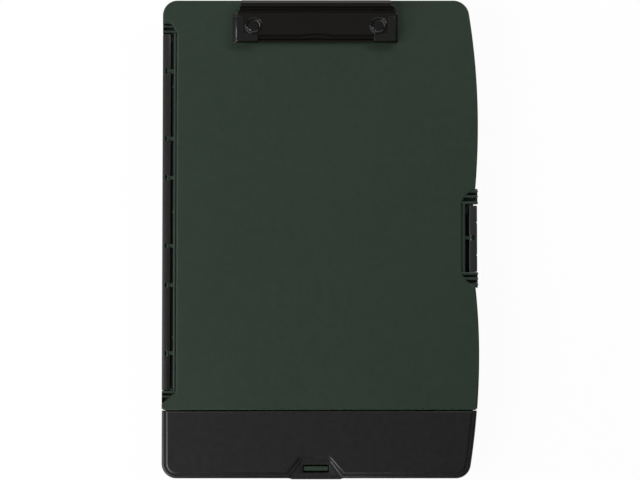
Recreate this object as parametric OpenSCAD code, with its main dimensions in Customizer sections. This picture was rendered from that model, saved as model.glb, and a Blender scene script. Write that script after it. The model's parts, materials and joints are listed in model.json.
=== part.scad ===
// Storage clipboard box: a shallow tray with a hinged writing cover, a hinged lid over a
// separate pen tray, a side latch and a low spring clip.
// It lies on its back: +X right, +Y towards the clip, +Z up out of the writing surface.
// Every length is in millimetres.

/* [Case] */
// Length of the case, without the thumb tab of the pen lid
case_len = 393.7; // [385:0.1:405]
// Width of the case over its widest bulge
case_w = 260.6; // [256:0.1:270]
// Thickness of the closed case, without the clip
case_t = 25; // [24.5:0.1:32]
// Radius of the four outer corners
corner_r = 12.3; // [10:0.1:14]
// Radius of the upper bulge on the latch side
bulge_hi_r = 630; // [560:1:800]
// Radius of the lower bulge on the latch side
bulge_lo_r = 515; // [480:1:700]
// Height of the upper bulge's widest point above the middle of the case
bulge_hi_y = 95; // [85:1:105]
// Depth of the lower bulge's widest point below the middle of the case
bulge_lo_y = 94; // [85:1:105]
// How much narrower the upper bulge is than the lower one
bulge_step = 0.4; // [0:0.1:1]
// Length of the pen lid along the case
lid_len = 55.3; // [52:0.05:62]
// Gap between the cover and the pen lid
seam_gap = 1; // [0.9:0.05:1.5]

/* [Walls] */
// Thickness of the tray's floor
floor_t = 2; // [1.6:0.1:3]
// Thickness of the tray's walls
wall_t = 2; // [1.6:0.1:2.4]
// Thickness of the cover's plate
plate_t = 2.2; // [1.8:0.1:2.6]
// Thickness of the skirt round the cover and the lid
skirt_t = 1.8; // [1.4:0.1:2]
// Depth of that skirt below the writing surface
skirt_depth = 6.5; // [6.3:0.1:7]
// Gap between the skirt and the tray's wall
skirt_gap = 0.7; // [0.6:0.05:0.9]
// Gap under the plates, above the tray's walls
plate_gap = 0.4; // [0.2:0.05:0.6]
// Radius of the cover's top edge
cover_edge_r = 1.8; // [1:0.1:2.2]
// Radius of the tray's bottom edge
foot_r = 2.2; // [1.5:0.1:2.4]
// Thickness of the pen lid's plate
lid_plate_t = 2.4; // [2.1:0.1:2.6]
// Radius of the pen lid's outer edge
lid_edge_r = 0.8; // [0.5:0.1:0.9]
// Width of the low border round the pen lid
lid_border_w = 2.7; // [2:0.1:3.5]
// Rise from that border to the lid's raised middle
lid_rise = 0.9; // [0.5:0.1:1.2]

/* [Hinge bar] */
// Length of the hinge bar
bar_len = 293.8; // [286:0.1:296]
// Height of the bar's middle above the middle of the case
bar_mid_y = 22; // [20:0.1:26]
// Width of the bar, outside to inside
bar_w = 6.7; // [6.2:0.1:7]
// Gap between each end of the bar and the cover
bar_end_gap = 0.7; // [0.4:0.1:1.5]
// Depth of the bar below the writing surface, and above the table
bar_inset = 1; // [0.6:0.1:1.4]
// Distance from the bar's outer face to its two pins
bar_pin_x = 4.6; // [4.4:0.1:4.9]
// Distance from the bar's top or bottom face to the pin beside it
bar_pin_z = 2.4; // [2.2:0.1:2.8]
// Width of the recess in the cover that holds the bar
bar_recess_w = 9.8; // [9.4:0.1:10.2]
// Depth of the bevel along the inner edge of the hinge and latch recesses
recess_bevel = 1.8; // [1.2:0.1:2]

/* [Side latch] */
// Length of the side latch
latch_len = 54.2; // [48:0.1:60]
// Height of the latch's middle above the middle of the case
latch_mid_y = -0.1; // [-4:0.1:6]
// Width of the latch, outside to inside
latch_w = 6.5; // [6:0.1:7]
// Gap between the upper end of the latch and the cover
latch_gap_hi = 1.4; // [0.6:0.1:2]
// Gap between the lower end of the latch and the cover
latch_gap_lo = 0.7; // [0.5:0.1:2]
// Distance from the case's side line to the outer rim of the latch frame
latch_rim_in = 0.6; // [0.3:0.1:1]
// Distance from that rim to the recess wall behind the latch
latch_recess_w = 10.1; // [9.6:0.1:10.6]

/* [Pins and eyes] */
// Radius of the hinge and latch pins
pin_r = 0.9; // [0.75:0.05:1]
// Running gap round a pin in an eye
pin_gap = 0.07; // [0.03:0.01:0.1]
// Gap round a pin in the piece that grips it
pin_seat = 0.02; // [0.01:0.01:0.03]
// Outer radius of the eyes on the hinge and latch pins
eye_r = 1.7; // [1.6:0.05:1.8]
// Width of an eye along its pin
eye_w = 3; // [2.5:0.1:3.4]
// Gap on each side of an eye in its notch
eye_gap = 0.3; // [0.2:0.05:0.5]
// Thickness of the arms that carry the eyes
arm_t = 2.2; // [1.8:0.1:2.4]

/* [Pen lid hinge] */
// Radius of the pen lid's hinge rod
rod_r = 1; // [0.8:0.05:1.1]
// Distance of the rod from the pen lid's rear face and from its top
rod_inset = 3.3; // [3.2:0.05:3.5]
// Radius of the pen lid's top rear edge
lid_rear_r = 1.7; // [1.7:0.1:2.4]
// Outer radius of the tray's eyes round the rod
post_eye_r = 1.9; // [1.8:0.05:2]
// Width of each of those eyes
post_w = 5; // [4:0.1:7]
// Number of those eyes
post_count = 5; // [3:1:7]
// Opening angle of the pen lid that its rear edge leaves room for
lid_open = 95; // [60:1:100]

/* [Pen lid tab] */
// Distance of the clip's and the tab's centre line from the middle of the case
clip_x = -3.7; // [-8:0.1:4]
// Width of the thumb tab at the case's lower edge
tab_w = 44.5; // [38:0.1:52]
// Width of the thumb tab at its inner end
tab_top_w = 24; // [22:0.1:30]
// Length of the thumb tab
tab_len = 16.6; // [15:0.1:19]
// How far the thumb tab stands out of the lower edge
tab_proud = 0.8; // [0.4:0.1:1.5]
// Width of the slot in the tab
slot_w = 21.2; // [18:0.1:22]
// Length of the slot, along the case
slot_len = 5.4; // [5:0.1:6]
// Distance of the slot from the case's lower edge
slot_from_edge = 5.1; // [4.8:0.1:5.6]

/* [Clip] */
// Width of the clip's rolled rear edge
clip_w = 121.2; // [114:0.1:126]
// Thickness of the clip's steel sheet
sheet_t = 1; // [0.8:0.05:1.2]
// Outer radius of the rolled rear edge
clip_roll_r = 4.2; // [4.1:0.05:4.5]
// Radius of the clip's axle
axle_r = 1.25; // [1:0.05:1.35]
// Height of the axle above the writing surface
axle_z = 4.7; // [4.6:0.1:5.2]
// Distance from the case's top edge to the axle
axle_from_edge = 4.85; // [4.6:0.05:5.5]
// Height of the lever's panel above the writing surface, at its middle plane
panel_z = 5.4; // [5:0.1:5.8]
// Distance from the axle to the panel's front bend
panel_reach = 24.8; // [23:0.1:27]
// Distance from that bend to the tip of the front lip
lip_reach = 4.6; // [4:0.1:5.4]
// Width of the front lip, between the grips
lip_w = 95.6; // [90:0.1:97]
// Distance between the two grips' buttons
button_pitch = 103.2; // [100:0.1:105]
// Distance between the two rivets
rivet_pitch = 60; // [50:0.5:66]
// Radius of the spring wire
spring_wire_r = 0.7; // [0.5:0.05:0.75]

/* [Hidden] */
$fn = 48;
over = 1;          // how far a cutting shape runs past what it cuts
green = [0.20, 0.26, 0.21];
black = [0.15, 0.15, 0.16];
gloss_black = [0.10, 0.10, 0.10];
rubber_black = [0.13, 0.13, 0.13];
steel = [0.70, 0.71, 0.73];

// Lengthwise places
y_top = (case_len + tab_proud) / 2;
y_bot = y_top - case_len;
y_lid = y_bot + lid_len;               // rear edge of the pen lid
y_cover = y_lid + seam_gap;            // lower edge of the cover
y_mid = (y_top + y_bot) / 2;
x_left = -case_w / 2;
x_right = case_w / 2;

// Levels
z_top = case_t;
z_plate = z_top - plate_t;             // underside of the cover's plate
z_skirt = z_top - skirt_depth;         // lower edge of the skirts
z_wall = z_plate - plate_gap;          // top of the tray's main walls
tray_in = skirt_t + skirt_gap;         // how far the tray's wall stands inside the skirt's outer face
cavity_in = tray_in + wall_t;

// Hinge side
pin_x = x_left + bar_pin_x;
bar_x1 = x_left + bar_w;               // inner face of the bar
pin_z_hi = z_top - bar_inset - bar_pin_z;
pin_z_lo = bar_inset + bar_pin_z;
bar_y0 = y_mid + bar_mid_y - bar_len / 2;
bar_y1 = bar_y0 + bar_len;
rec_y0 = bar_y0 - bar_end_gap;         // lower end of the hinge recess
rec_y1 = bar_y1 + bar_end_gap;
rec_x = x_left + bar_recess_w;         // outer face of the cover's recess wall
rec_wall_t = 1.6;
// The recess wall swings about the upper pin, and the tray's wall stands just outside that swing
rec_swing = norm([rec_x + rec_wall_t - pin_x, pin_z_hi - z_skirt]);
swing_gap = 0.5;
hinge_wall_x = pin_x + rec_swing + swing_gap;
corner_swing = norm([bar_pin_x, max(pin_z_hi - z_skirt, z_top - pin_z_hi)]) + swing_gap;
under_skirt = z_skirt - 0.6;           // top of what lies below a skirt
root = 0.5;                            // how deep an arm or a rib is rooted in its wall
bar_y = y_mid + bar_mid_y;
cover_arm_y = [-116.3, -60.4, -28.1, 28.1, 60.4, 116.3]; // cover eyes, from the bar's middle
tray_arm_y = [-130, -88, -44, 0, 44, 88, 130];           // tray eyes, from the bar's middle
nub_y = [-103.4, 0, 103.4];                               // stops on the recess wall

// Scoops with fins at the four recess ends: [width, length], then the fins' [start, end]
scoop_l = [12.2, 10.4];
fins_l = [[0, 1.8], [4.2, 5.6], [8, 9]];
scoop_r = [12.9, 12];
fins_r = [[0, 2.1], [5, 7], [9.7, 12]];

// Latch side
rim_x = x_right - latch_rim_in;        // outer rim of the latch frame
latch_rim_gap = 0.7;
latch_x1 = rim_x - latch_rim_gap;      // outer face of the latch
latch_x0 = latch_x1 - latch_w;
latch_pin_x = latch_x0 + eye_r + 0.1;
latch_y = y_mid + latch_mid_y;
latch_y0 = y_mid + latch_mid_y - latch_len / 2;
latch_y1 = y_mid + latch_mid_y + latch_len / 2;
lrec_y0 = latch_y0 - latch_gap_lo;
lrec_y1 = latch_y1 + latch_gap_hi;
lrec_x = rim_x - latch_recess_w;       // outer face of the cover's wall behind the latch
latch_wall_x = lrec_x - rec_wall_t - skirt_gap; // outer face of the tray's wall behind it
latch_z0 = 2;                          // lower end of the latch
nose_h = 2.4;
nose_reach = 1.1;
nose_end = 7;                          // from the latch's end to its nose's end
ledge_z = latch_z0 + nose_h + 1;       // underside of the tray's ledge above the nose
frame_y0 = lrec_y0 - scoop_r[1];       // ends of the latch frame
frame_y1 = lrec_y1 + scoop_r[1];

fin_drop = 0.7;                        // fins' tops below the writing surface
pocket_floor_t = 1.6;
frame_wall = 1;                        // wall beyond a scoop's far end
scoop_power = 1.3;                     // 1 gives a quarter ellipse, 2 a straight chamfer

// Pen lid
rod_y = y_lid - rod_inset;
rod_z = z_top - rod_inset;
knuckle_r = 2.2;
lid_plate_z = z_top - lid_plate_t;     // underside of the lid's plate
border_z = z_top - lid_rise;           // top of the lid's low border
pen_wall_y = rod_y - wall_t / 2;       // front face of the pen tray's rear wall
pen_wall_z = min(rod_z - rod_inset, z_skirt) - 0.6;  // top of that wall, under the lid's swing
main_wall_y = y_cover + tray_in;       // outer face of the main tray's lower wall
post_end = 9;                          // from the case's side to the first eye on the rod
post_gap = 0.3;
rod_end = 6;                           // how far the rod runs past the outermost eyes
tab_face_z = z_top - 1.6;
tab_side = 3;                          // how far the tab's proud edge stops short of its sides
tab_border = 2.6;                      // width of the low band round the tab
slot_frame = 3;                        // width of the thicker plate round the slot
slot_frame_w = slot_w + 2 * slot_frame;
slot_frame_z = tab_face_z - 2.2;
slot_y0 = y_bot + slot_from_edge;      // front edge of the slot
slot_y1 = slot_y0 + slot_len;
catch_side_gap = 0.6;
catch_w = slot_w - 2 * catch_side_gap;
catch_t = 2;

// Clip
axle_y = y_top - axle_from_edge;
axle_zz = z_top + axle_z;
roll_mid_r = clip_roll_r - sheet_t / 2;
panel_zz = z_top + panel_z;
bend_y = axle_y - panel_reach;
lip_y = bend_y - lip_reach;
button_y = axle_y - 15.7;
button_r = 6.8;
button_h = 1;
ear_t = 1.2;
ear_gap = 0.6;
ear_x = clip_w / 2 + ear_gap;          // inner face of an ear, from the clip's middle
ear_r = 3;
plate_half = 44;                       // half the base plate's width, between the grips
plate_front = axle_y - 19.4;           // where the paper stops
rivet_y = axle_y - 9.4;
rivet_r = 2;
rivet_head_r = 3.6;
washer_r = 4.6;
washer_t = 1.2;
rivet_low = z_plate - washer_t;        // underside of a washer
grip_in = lip_w / 2;                   // inner end of a grip, from the clip's middle
grip_edge = clip_w / 2 - 1.2;          // where a grip's rim starts, from the clip's middle
grip_out = clip_w / 2 + 4.6;           // outer edge of a grip's top
grip_flare = 2.8;                      // how much wider its foot is
grip_lift = 0.25;                      // gap between the closed grips and the cover
lip_lift = 0.15;                       // gap between the closed front lip and the cover
shoulder_y = axle_y - 4.6;             // where the lever's shoulders meet the roll
grip_y0 = lip_y + 0.2;
grip_y1 = axle_y - 9.1;                // rear end of a grip's rim
grip_rim_y = bend_y + 1.4;             // where the rim along the front edge ends
button_hole_r = 5;

// ---------- outline of the case ----------

function arc(c, r, a0, a1, n) =
    [for (i = [1 : n]) let (a = a0 + (a1 - a0) * i / n) c + r * [cos(a), sin(a)]];

corner_tl = [x_left + corner_r, y_top - corner_r];
corner_bl = [x_left + corner_r, y_bot + corner_r];
bulge_hi = [x_right - bulge_step - bulge_hi_r, y_mid + bulge_hi_y];
bulge_lo = [x_right - bulge_lo_r, y_mid - bulge_lo_y];
// A corner touches the straight edge and the bulge, so its centre lies this far along
function beside(c, r, y) = [c[0] + sqrt(pow(r - corner_r, 2) - pow(y - c[1], 2)), y];
corner_tr = beside(bulge_hi, bulge_hi_r, y_top - corner_r);
corner_br = beside(bulge_lo, bulge_lo_r, y_bot + corner_r);
// Right side of the outline moved in by d, at a height y along the lower bulge
function side_x(y, d) = bulge_lo[0] + sqrt(pow(bulge_lo_r - d, 2) - pow(y - bulge_lo[1], 2));
function heading(a, b) = atan2(b[1] - a[1], b[0] - a[0]);
ang_tr = heading(bulge_hi, corner_tr);
ang_br = heading(bulge_lo, corner_br);
// Where the two bulges cross once both are moved in by d
function crossing(d) =
    let (r1 = bulge_hi_r - d, r2 = bulge_lo_r - d, v = bulge_lo - bulge_hi, l = norm(v),
         a = (r1 * r1 - r2 * r2 + l * l) / (2 * l), h = sqrt(r1 * r1 - a * a))
    bulge_hi + v * a / l + [-v[1], v[0]] * h / l;

// The case's outline moved in by d, clockwise from the left edge
function outline(d) =
    let (x = crossing(d))
    concat(
        [[x_left + d, corner_bl[1]], [x_left + d, corner_tl[1]]],
        arc(corner_tl, corner_r - d, 180, 90, 8),
        [[corner_tr[0], y_top - d]],
        arc(corner_tr, corner_r - d, 90, ang_tr, 8),
        arc(bulge_hi, bulge_hi_r - d, ang_tr, heading(bulge_hi, x), 10),
        arc(bulge_lo, bulge_lo_r - d, heading(bulge_lo, x), ang_br, 10),
        arc(corner_br, corner_r - d, ang_br, -90, 8),
        [[corner_bl[0], y_bot + d]],
        arc(corner_bl, corner_r - d, -90, -180 + 180 / 16, 7));

// A solid through the outline at each [level, inset] pair
module loft(rings) {
    loops = [for (r = rings) [for (p = outline(r[1])) [p[0], p[1], r[0]]]];
    n = len(loops[0]);
    m = len(rings);
    polyhedron(
        points = [for (l = loops) for (p = l) p],
        faces = concat(
            [[for (i = [n - 1 : -1 : 0]) i]],
            [[for (i = [0 : n - 1]) (m - 1) * n + i]],
            [for (k = [0 : m - 2]) for (i = [0 : n - 1]) let (j = (i + 1) % n)
                [k * n + i, k * n + j, (k + 1) * n + j]],
            [for (k = [0 : m - 2]) for (i = [0 : n - 1]) let (j = (i + 1) % n)
                [k * n + i, (k + 1) * n + j, (k + 1) * n + i]]),
        convexity = 6);
}

// Level and inset along a rounded top edge of radius r that ends at level z
function round_over(z, r, inset, n) =
    [for (i = [0 : n]) let (a = 90 * i / n) [z - r + r * sin(a), inset + r * (1 - cos(a))]];

// The same for a bottom edge that starts at level 0
function round_under(r, inset, n) =
    [for (i = [0 : n]) let (a = 90 * i / n) [r - r * cos(a), inset + r - r * sin(a)]];

module box(lo, hi) {
    translate(lo) cube(hi - lo);
}

// Cuts a rounded top edge of radius r along the straight face at y; dir is 1 where the face looks up +Y
module edge_round(y, dir, r) {
    y0 = y - dir * r;
    y1 = y + dir * over;
    difference() {
        box([x_left - 2 * over, min(y0, y1), z_top - r], [x_right + 2 * over, max(y0, y1), z_top + over]);
        rod_x_axis(x_left - 3 * over, x_right + 3 * over, y0, z_top - r, r);
    }
}

// A prism of the outline moved in by d, between two levels
module outline_prism(d, z0, z1) {
    translate([0, 0, z0]) linear_extrude(z1 - z0) polygon(outline(d));
}

module rod_y_axis(x, y0, y1, z, r) {
    translate([x, y0, z]) rotate([-90, 0, 0]) cylinder(r = r, h = y1 - y0);
}

module rod_x_axis(x0, x1, y, z, r) {
    translate([x0, y, z]) rotate([0, 90, 0]) cylinder(r = r, h = x1 - x0);
}

// ---------- scoops and fins ----------

// Plan of a scoop: u runs in from the outer rim, v away from the recess end
function scoop_plan(size) =
    concat([[-over, -over], [size[0], -over]],
        [for (i = [0 : 10]) let (a = 9 * i)
            [size[0] * pow(cos(a), scoop_power), size[1] * pow(sin(a), scoop_power)]],
        [[-over, size[1]]]);

module scoop_cut(size, fins) {
    translate([0, 0, z_top - fin_drop]) linear_extrude(fin_drop + over) polygon(scoop_plan(size));
    difference() {
        translate([0, 0, z_skirt + pocket_floor_t])
            linear_extrude(skirt_depth) polygon(scoop_plan(size));
        for (f = fins)
            box([-2 * over, f[0], z_skirt], [size[0] + over, f[1], z_top + 2 * over]);
    }
}

// Puts a scoop at a recess end: x is the rim, side is 1 on the hinge side, dir is 1 towards the clip
module at_recess_end(x, y, side, dir) {
    translate([x, y, 0]) mirror([side > 0 ? 0 : 1, 0, 0]) mirror([0, dir > 0 ? 0 : 1, 0]) children();
}

module left_scoops() {
    at_recess_end(x_left, rec_y1, 1, 1) scoop_cut(scoop_l, fins_l);
    at_recess_end(x_left, rec_y0, 1, -1) scoop_cut(scoop_l, fins_l);
}

module right_scoops() {
    at_recess_end(rim_x, lrec_y1, -1, 1) scoop_cut(scoop_r, fins_r);
    at_recess_end(rim_x, lrec_y0, -1, -1) scoop_cut(scoop_r, fins_r);
}

// ---------- eyes on arms ----------

// An arm from x to an eye round the pin at [px, z], with y its middle
module arm_body(x, px, y, z) {
    rod_y_axis(px, y - eye_w / 2, y + eye_w / 2, z, eye_r);
    box([min(x, px), y - eye_w / 2, z - arm_t / 2], [max(x, px), y + eye_w / 2, z + arm_t / 2]);
}

module eye_bore(px, y, z) {
    rod_y_axis(px, y - eye_w / 2 - over, y + eye_w / 2 + over, z, pin_r + pin_gap);
}

// ---------- base tray ----------

module tray_hollows() {
    // main compartment, straight on the hinge side and stepped in behind the latch
    difference() {
        intersection() {
            outline_prism(cavity_in, floor_t, z_top + over);
            box([hinge_wall_x + wall_t, main_wall_y + wall_t, 0], [x_right, y_top, z_top + 2 * over]);
        }
        box([latch_wall_x - wall_t, frame_y0 - frame_wall - tray_in, 0],
            [x_right, frame_y1 + frame_wall + tray_in, z_top + 3 * over]);
    }
    // pen compartment
    intersection() {
        outline_prism(cavity_in, floor_t, z_top + over);
        box([x_left, y_bot, 0], [x_right, pen_wall_y, z_top + 2 * over]);
    }
    // valley between the two compartments, for the cover's skirt and the lid's knuckles
    intersection() {
        outline_prism(cavity_in, floor_t, z_top + over);
        box([x_left, rod_y + wall_t / 2, 0], [x_right, main_wall_y, z_top + 2 * over]);
    }
}

module tray_side_clearances() {
    pocket_top = pin_z_hi - corner_swing - wall_t;
    // hinge bar's slot, down to a thin flange
    box([x_left, rec_y0, -over], [hinge_wall_x, rec_y1, z_top + over]);
    // above the corner blocks beside the bar, where the cover's corners swing
    box([x_left, y_lid, under_skirt], [hinge_wall_x, y_top, z_top + over]);
    rod_y_axis(pin_x, y_lid, y_top, pin_z_hi, corner_swing);
    // latch recess, full height, and the room for the latch frame above
    box([latch_wall_x, lrec_y0 - frame_wall, -over], [x_right, lrec_y1 + frame_wall, z_top + over]);
    box([latch_wall_x, frame_y0 - frame_wall - skirt_gap, under_skirt],
        [x_right, frame_y1 + frame_wall + skirt_gap, z_top + over]);
    // the valley's ends and the low rear wall of the pen compartment
    box([x_left, y_lid - 2 * (rod_inset + post_gap), pen_wall_z], [x_right, main_wall_y, z_top + over]);
    // the front wall is lower under the thumb tab
    box([clip_x - slot_frame_w / 2 - root, y_bot, slot_frame_z - plate_gap],
        [clip_x + slot_frame_w / 2 + root, slot_y0, z_top + over]);
    // moulding pockets under the solid blocks
    box([x_left + cavity_in, rec_y1 + wall_t, -over],
        [hinge_wall_x - root, y_top - corner_r, pocket_top]);
    box([x_left + cavity_in, y_cover + wall_t, -over],
        [hinge_wall_x - root, rec_y0 - wall_t, pocket_top]);
}

module tray_arms() {
    flange_in = 4.2;
    flange_t = 1.2;
    for (dy = tray_arm_y) arm_body(hinge_wall_x + root, pin_x, bar_y + dy, pin_z_lo);
    // flange that closes the channel below the bar
    box([pin_x + flange_in, rec_y0 - root, 0], [hinge_wall_x + root, rec_y1 + root, flange_t]);
}

// Middle of each eye on the pen lid's rod
post_x0 = x_left + post_end;
post_x1 = side_x(rod_y, 0) - post_end;
post_x = [for (i = [0 : post_count - 1]) post_x0 + (post_x1 - post_x0) * i / (post_count - 1)];

module rod_posts() {
    for (x = post_x) translate([x, 0, 0]) {
        rod_x_axis(-post_w / 2, post_w / 2, rod_y, rod_z, post_eye_r);
        box([-post_w / 2, rod_y - wall_t / 2, pen_wall_z - over], [post_w / 2, rod_y + wall_t / 2, rod_z]);
    }
}

// Springy tongue that stands in the lid's slot, with a rounded head
module lid_catch() {
    head_y0 = slot_y0 + 0.9;
    head_y1 = slot_y1 - 0.4;
    head_z = tab_face_z - 0.3;
    neck_z = head_z - 1;
    round_in = 0.4;
    x0 = clip_x - catch_w / 2;
    x1 = clip_x + catch_w / 2;
    box([x0, head_y0, floor_t / 4], [x1, head_y0 + catch_t, neck_z]);
    box([x0, head_y0, neck_z - 1.8], [x1, head_y1, neck_z]);
    hull() {
        box([x0, head_y0, neck_z - round_in], [x1, head_y1, neck_z]);
        box([x0 + round_in, head_y0 + 2 * round_in, neck_z], [x1 - round_in, head_y1 - 2 * round_in, head_z]);
    }
}

// Ledge on the wall behind the latch, which the latch's nose closes under
module latch_catch() {
    box([latch_wall_x - root, latch_y0 + nose_end - 1, ledge_z],
        [latch_x0 - nose_reach - 0.4, latch_y1 - nose_end + 1, ledge_z + wall_t]);
}

module base_tray() color(green) {
    difference() {
        union() {
            difference() {
                loft(concat(round_under(foot_r, tray_in, 4), [[z_wall, tray_in]]));
                tray_hollows();
                tray_side_clearances();
            }
            tray_arms();
            rod_posts();
            lid_catch();
            latch_catch();
        }
        for (dy = tray_arm_y) eye_bore(pin_x, bar_y + dy, pin_z_lo);
        rod_x_axis(x_left, x_right, rod_y, rod_z, rod_r + pin_seat);
    }
}

// ---------- main cover ----------

module cover_blank() {
    intersection() {
        loft(concat([[z_skirt, 0]], round_over(z_top, cover_edge_r, 0, 4)));
        box([x_left - over, y_cover, 0], [x_right + over, y_top + over, z_top + over]);
    }
    // frame that carries the latch beyond the waist between the two bulges
    for (e = [[frame_y0, lrec_y0], [lrec_y1, frame_y1]])
        box([lrec_x - recess_bevel, e[0], z_skirt], [rim_x, e[1], z_top - 0.3]);
}

module cover_hollow() {
    difference() {
        intersection() {
            outline_prism(skirt_t, z_skirt - over, z_plate);
            box([x_left, y_cover + skirt_t, 0], [x_right, y_top, z_top]);
        }
        // solid blocks round the hinge recess and the latch frame
        box([x_left - over, rec_y0 - scoop_l[1] - frame_wall, 0],
            [rec_x + rec_wall_t, rec_y1 + scoop_l[1] + frame_wall, z_top]);
        box([lrec_x - rec_wall_t, frame_y0 - frame_wall, 0], [x_right + over, frame_y1 + frame_wall, z_top]);
    }
}

// Bevel along the top of the recess wall at x
module recess_bevel_cut(x, y0, y1) {
    half = recess_bevel / sqrt(2);
    translate([x, 0, z_top]) rotate([0, 45, 0]) box([-half, y0, -half], [half, y1, half]);
}

module main_cover() color(green) {
    notch_in = tray_in + 1.4;
    notch_y = y_cover + 0.75;
    difference() {
        union() {
            difference() {
                cover_blank();
                cover_hollow();
                edge_round(y_cover, -1, cover_edge_r);
                box([x_left - over, rec_y0, 0], [rec_x, rec_y1, z_top + over]);
                box([lrec_x, lrec_y0, 0], [x_right + over, lrec_y1, z_top + over]);
                left_scoops();
                right_scoops();
                recess_bevel_cut(rec_x, rec_y0, rec_y1);
                recess_bevel_cut(lrec_x, lrec_y0, lrec_y1);
                // the cover stops short of the seam at both sides
                box([x_left - over, y_cover - over, 0], [x_left + notch_in, notch_y, z_top + over]);
                box([x_right - notch_in, y_cover - over, 0], [x_right + over, notch_y, z_top + over]);
            }
            for (dy = cover_arm_y) arm_body(rec_x + root, pin_x, bar_y + dy, pin_z_hi);
            arm_body(lrec_x - root, latch_pin_x, latch_y, pin_z_hi);
            for (dy = nub_y) translate([rec_x, bar_y + dy, z_skirt + 1])
                linear_extrude(skirt_depth - 3) polygon([[root, -1.2], [-1.6, 0], [root, 1.2]]);
        }
        for (dy = cover_arm_y) eye_bore(pin_x, bar_y + dy, pin_z_hi);
        eye_bore(latch_pin_x, latch_y, pin_z_hi);
        both_sides() translate([rivet_pitch / 2, rivet_y, z_plate - over])
            cylinder(r = rivet_r + pin_seat, h = plate_t + 2 * over);
    }
}

// ---------- hinge bar ----------

// Notch for an eye and its arm, open to the inside and to the top (up = 1) or the bottom (up = -1)
module bar_notch(y, z, up) {
    half = eye_w / 2 + eye_gap;
    around = 0.5;
    z0 = z - up * (eye_r + around);
    z1 = z + up * (bar_pin_z + over);
    box([pin_x - eye_r - around, y - half, min(z0, z1)], [bar_x1 + over, y + half, max(z0, z1)]);
}

module hinge_bar() color(black) {
    z0 = bar_inset;
    z1 = z_top - bar_inset;
    outer_r = 1.6;
    chamfer = 0.6;
    skin = 1.9;
    rib_t = 2;
    pockets = 10;
    pitch = (bar_len - 3 * rib_t) / pockets;
    difference() {
        translate([0, bar_y1, 0]) rotate([90, 0, 0]) linear_extrude(bar_len)
            polygon(concat(
                [[bar_x1, z0 + chamfer], [bar_x1, z1 - chamfer], [bar_x1 - chamfer, z1]],
                arc([x_left + outer_r, z1 - outer_r], outer_r, 78, 180, 6),
                arc([x_left + outer_r, z0 + outer_r], outer_r, 180, 270, 6),
                [[bar_x1 - chamfer, z0]]));
        for (dy = cover_arm_y) bar_notch(bar_y + dy, pin_z_hi, 1);
        for (dy = tray_arm_y) bar_notch(bar_y + dy, pin_z_lo, -1);
        rod_y_axis(pin_x, bar_y0 - over, bar_y1 + over, pin_z_hi, pin_r + pin_seat);
        rod_y_axis(pin_x, bar_y0 - over, bar_y1 + over, pin_z_lo, pin_r + pin_seat);
        // moulding pockets on the inner face, with ribs between them
        for (i = [0 : pockets - 1]) let (y = bar_y0 + 2 * rib_t + i * pitch)
            box([x_left + skin, y, pin_z_lo + 3], [bar_x1 + over, y + pitch - rib_t, pin_z_hi - 3]);
    }
}

module hinge_pin(z) {
    end_in = 0.8;
    color(steel) rod_y_axis(pin_x, bar_y0 + end_in, bar_y1 - end_in, z, pin_r);
}

// ---------- side latch ----------

latch_pin_half = 11.5;

module side_latch() color(black) {
    half = eye_w / 2 + 0.4;
    z1 = z_top - bar_inset;
    outer_r = 1.4;
    chamfer = 0.6;
    neck = 2.6;
    wall = 2;
    pocket_half = 9.4;
    difference() {
        union() {
            translate([0, latch_y1, 0]) rotate([90, 0, 0]) linear_extrude(latch_len)
                polygon(concat(
                    [[latch_x0, z1 - chamfer], [latch_x0, latch_z0 + 6]],
                    [[latch_x0 + neck, latch_z0 + 3], [latch_x0 + neck, latch_z0]],
                    arc([latch_x1 - outer_r, latch_z0 + outer_r], outer_r, -80, 0, 5),
                    arc([latch_x1 - outer_r, z1 - outer_r], outer_r, 0, 90, 5),
                    [[latch_x0 + chamfer, z1]]));
            // nose that closes under the tray's ledge
            box([latch_x0 - nose_reach, latch_y0 + nose_end, latch_z0 + 0.2],
                [latch_x0 + neck + root, latch_y1 - nose_end, latch_z0 + 0.2 + nose_h]);
        }
        box([latch_x0 - over, latch_y - half, pin_z_hi - eye_r - root],
            [latch_pin_x + eye_r + root, latch_y + half, z1 + over]);
        rod_y_axis(latch_pin_x, latch_y - latch_pin_half - root, latch_y + latch_pin_half + root,
            pin_z_hi, pin_r + pin_seat);
        // two grooves down the outer face, and moulding pockets behind it
        for (s = [-1, 1]) {
            translate([latch_x1 + 0.4, latch_y + s * 14, latch_z0 - over]) cylinder(r = 1.1, h = case_t);
            translate([0, latch_y + s * 14.4, 0]) box([latch_x0 - over, -pocket_half, latch_z0 + 8],
                [latch_x1 - wall, pocket_half, pin_z_hi - 3]);
        }
    }
}

module side_latch_pin() color(steel) {
    rod_y_axis(latch_pin_x, latch_y - latch_pin_half, latch_y + latch_pin_half, pin_z_hi, pin_r);
}

// ---------- pen lid ----------

module tab_plan(grow, y0) {
    polygon([[-tab_w / 2 - grow, y0], [-tab_top_w / 2 - grow, y_bot + tab_len + grow],
             [tab_top_w / 2 + grow, y_bot + tab_len + grow], [tab_w / 2 + grow, y0]]);
}

module lid_blank() {
    rise_in = lid_edge_r + lid_border_w;
    intersection() {
        loft(concat([[z_skirt, 0]], round_over(border_z, lid_edge_r, 0, 3),
            [[border_z, rise_in - 0.2], [z_top - 0.25, rise_in + 0.5], [z_top, rise_in + 1.1]]));
        box([x_left - over, y_bot - over, 0], [x_right + over, y_lid, z_top + over]);
    }
    // thumb tab, a little proud of the lower edge
    translate([clip_x, 0, 0]) box([-tab_w / 2 + tab_side, y_bot - tab_proud, z_skirt],
        [tab_w / 2 - tab_side, y_bot + over, tab_face_z - 0.6]);
}

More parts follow.
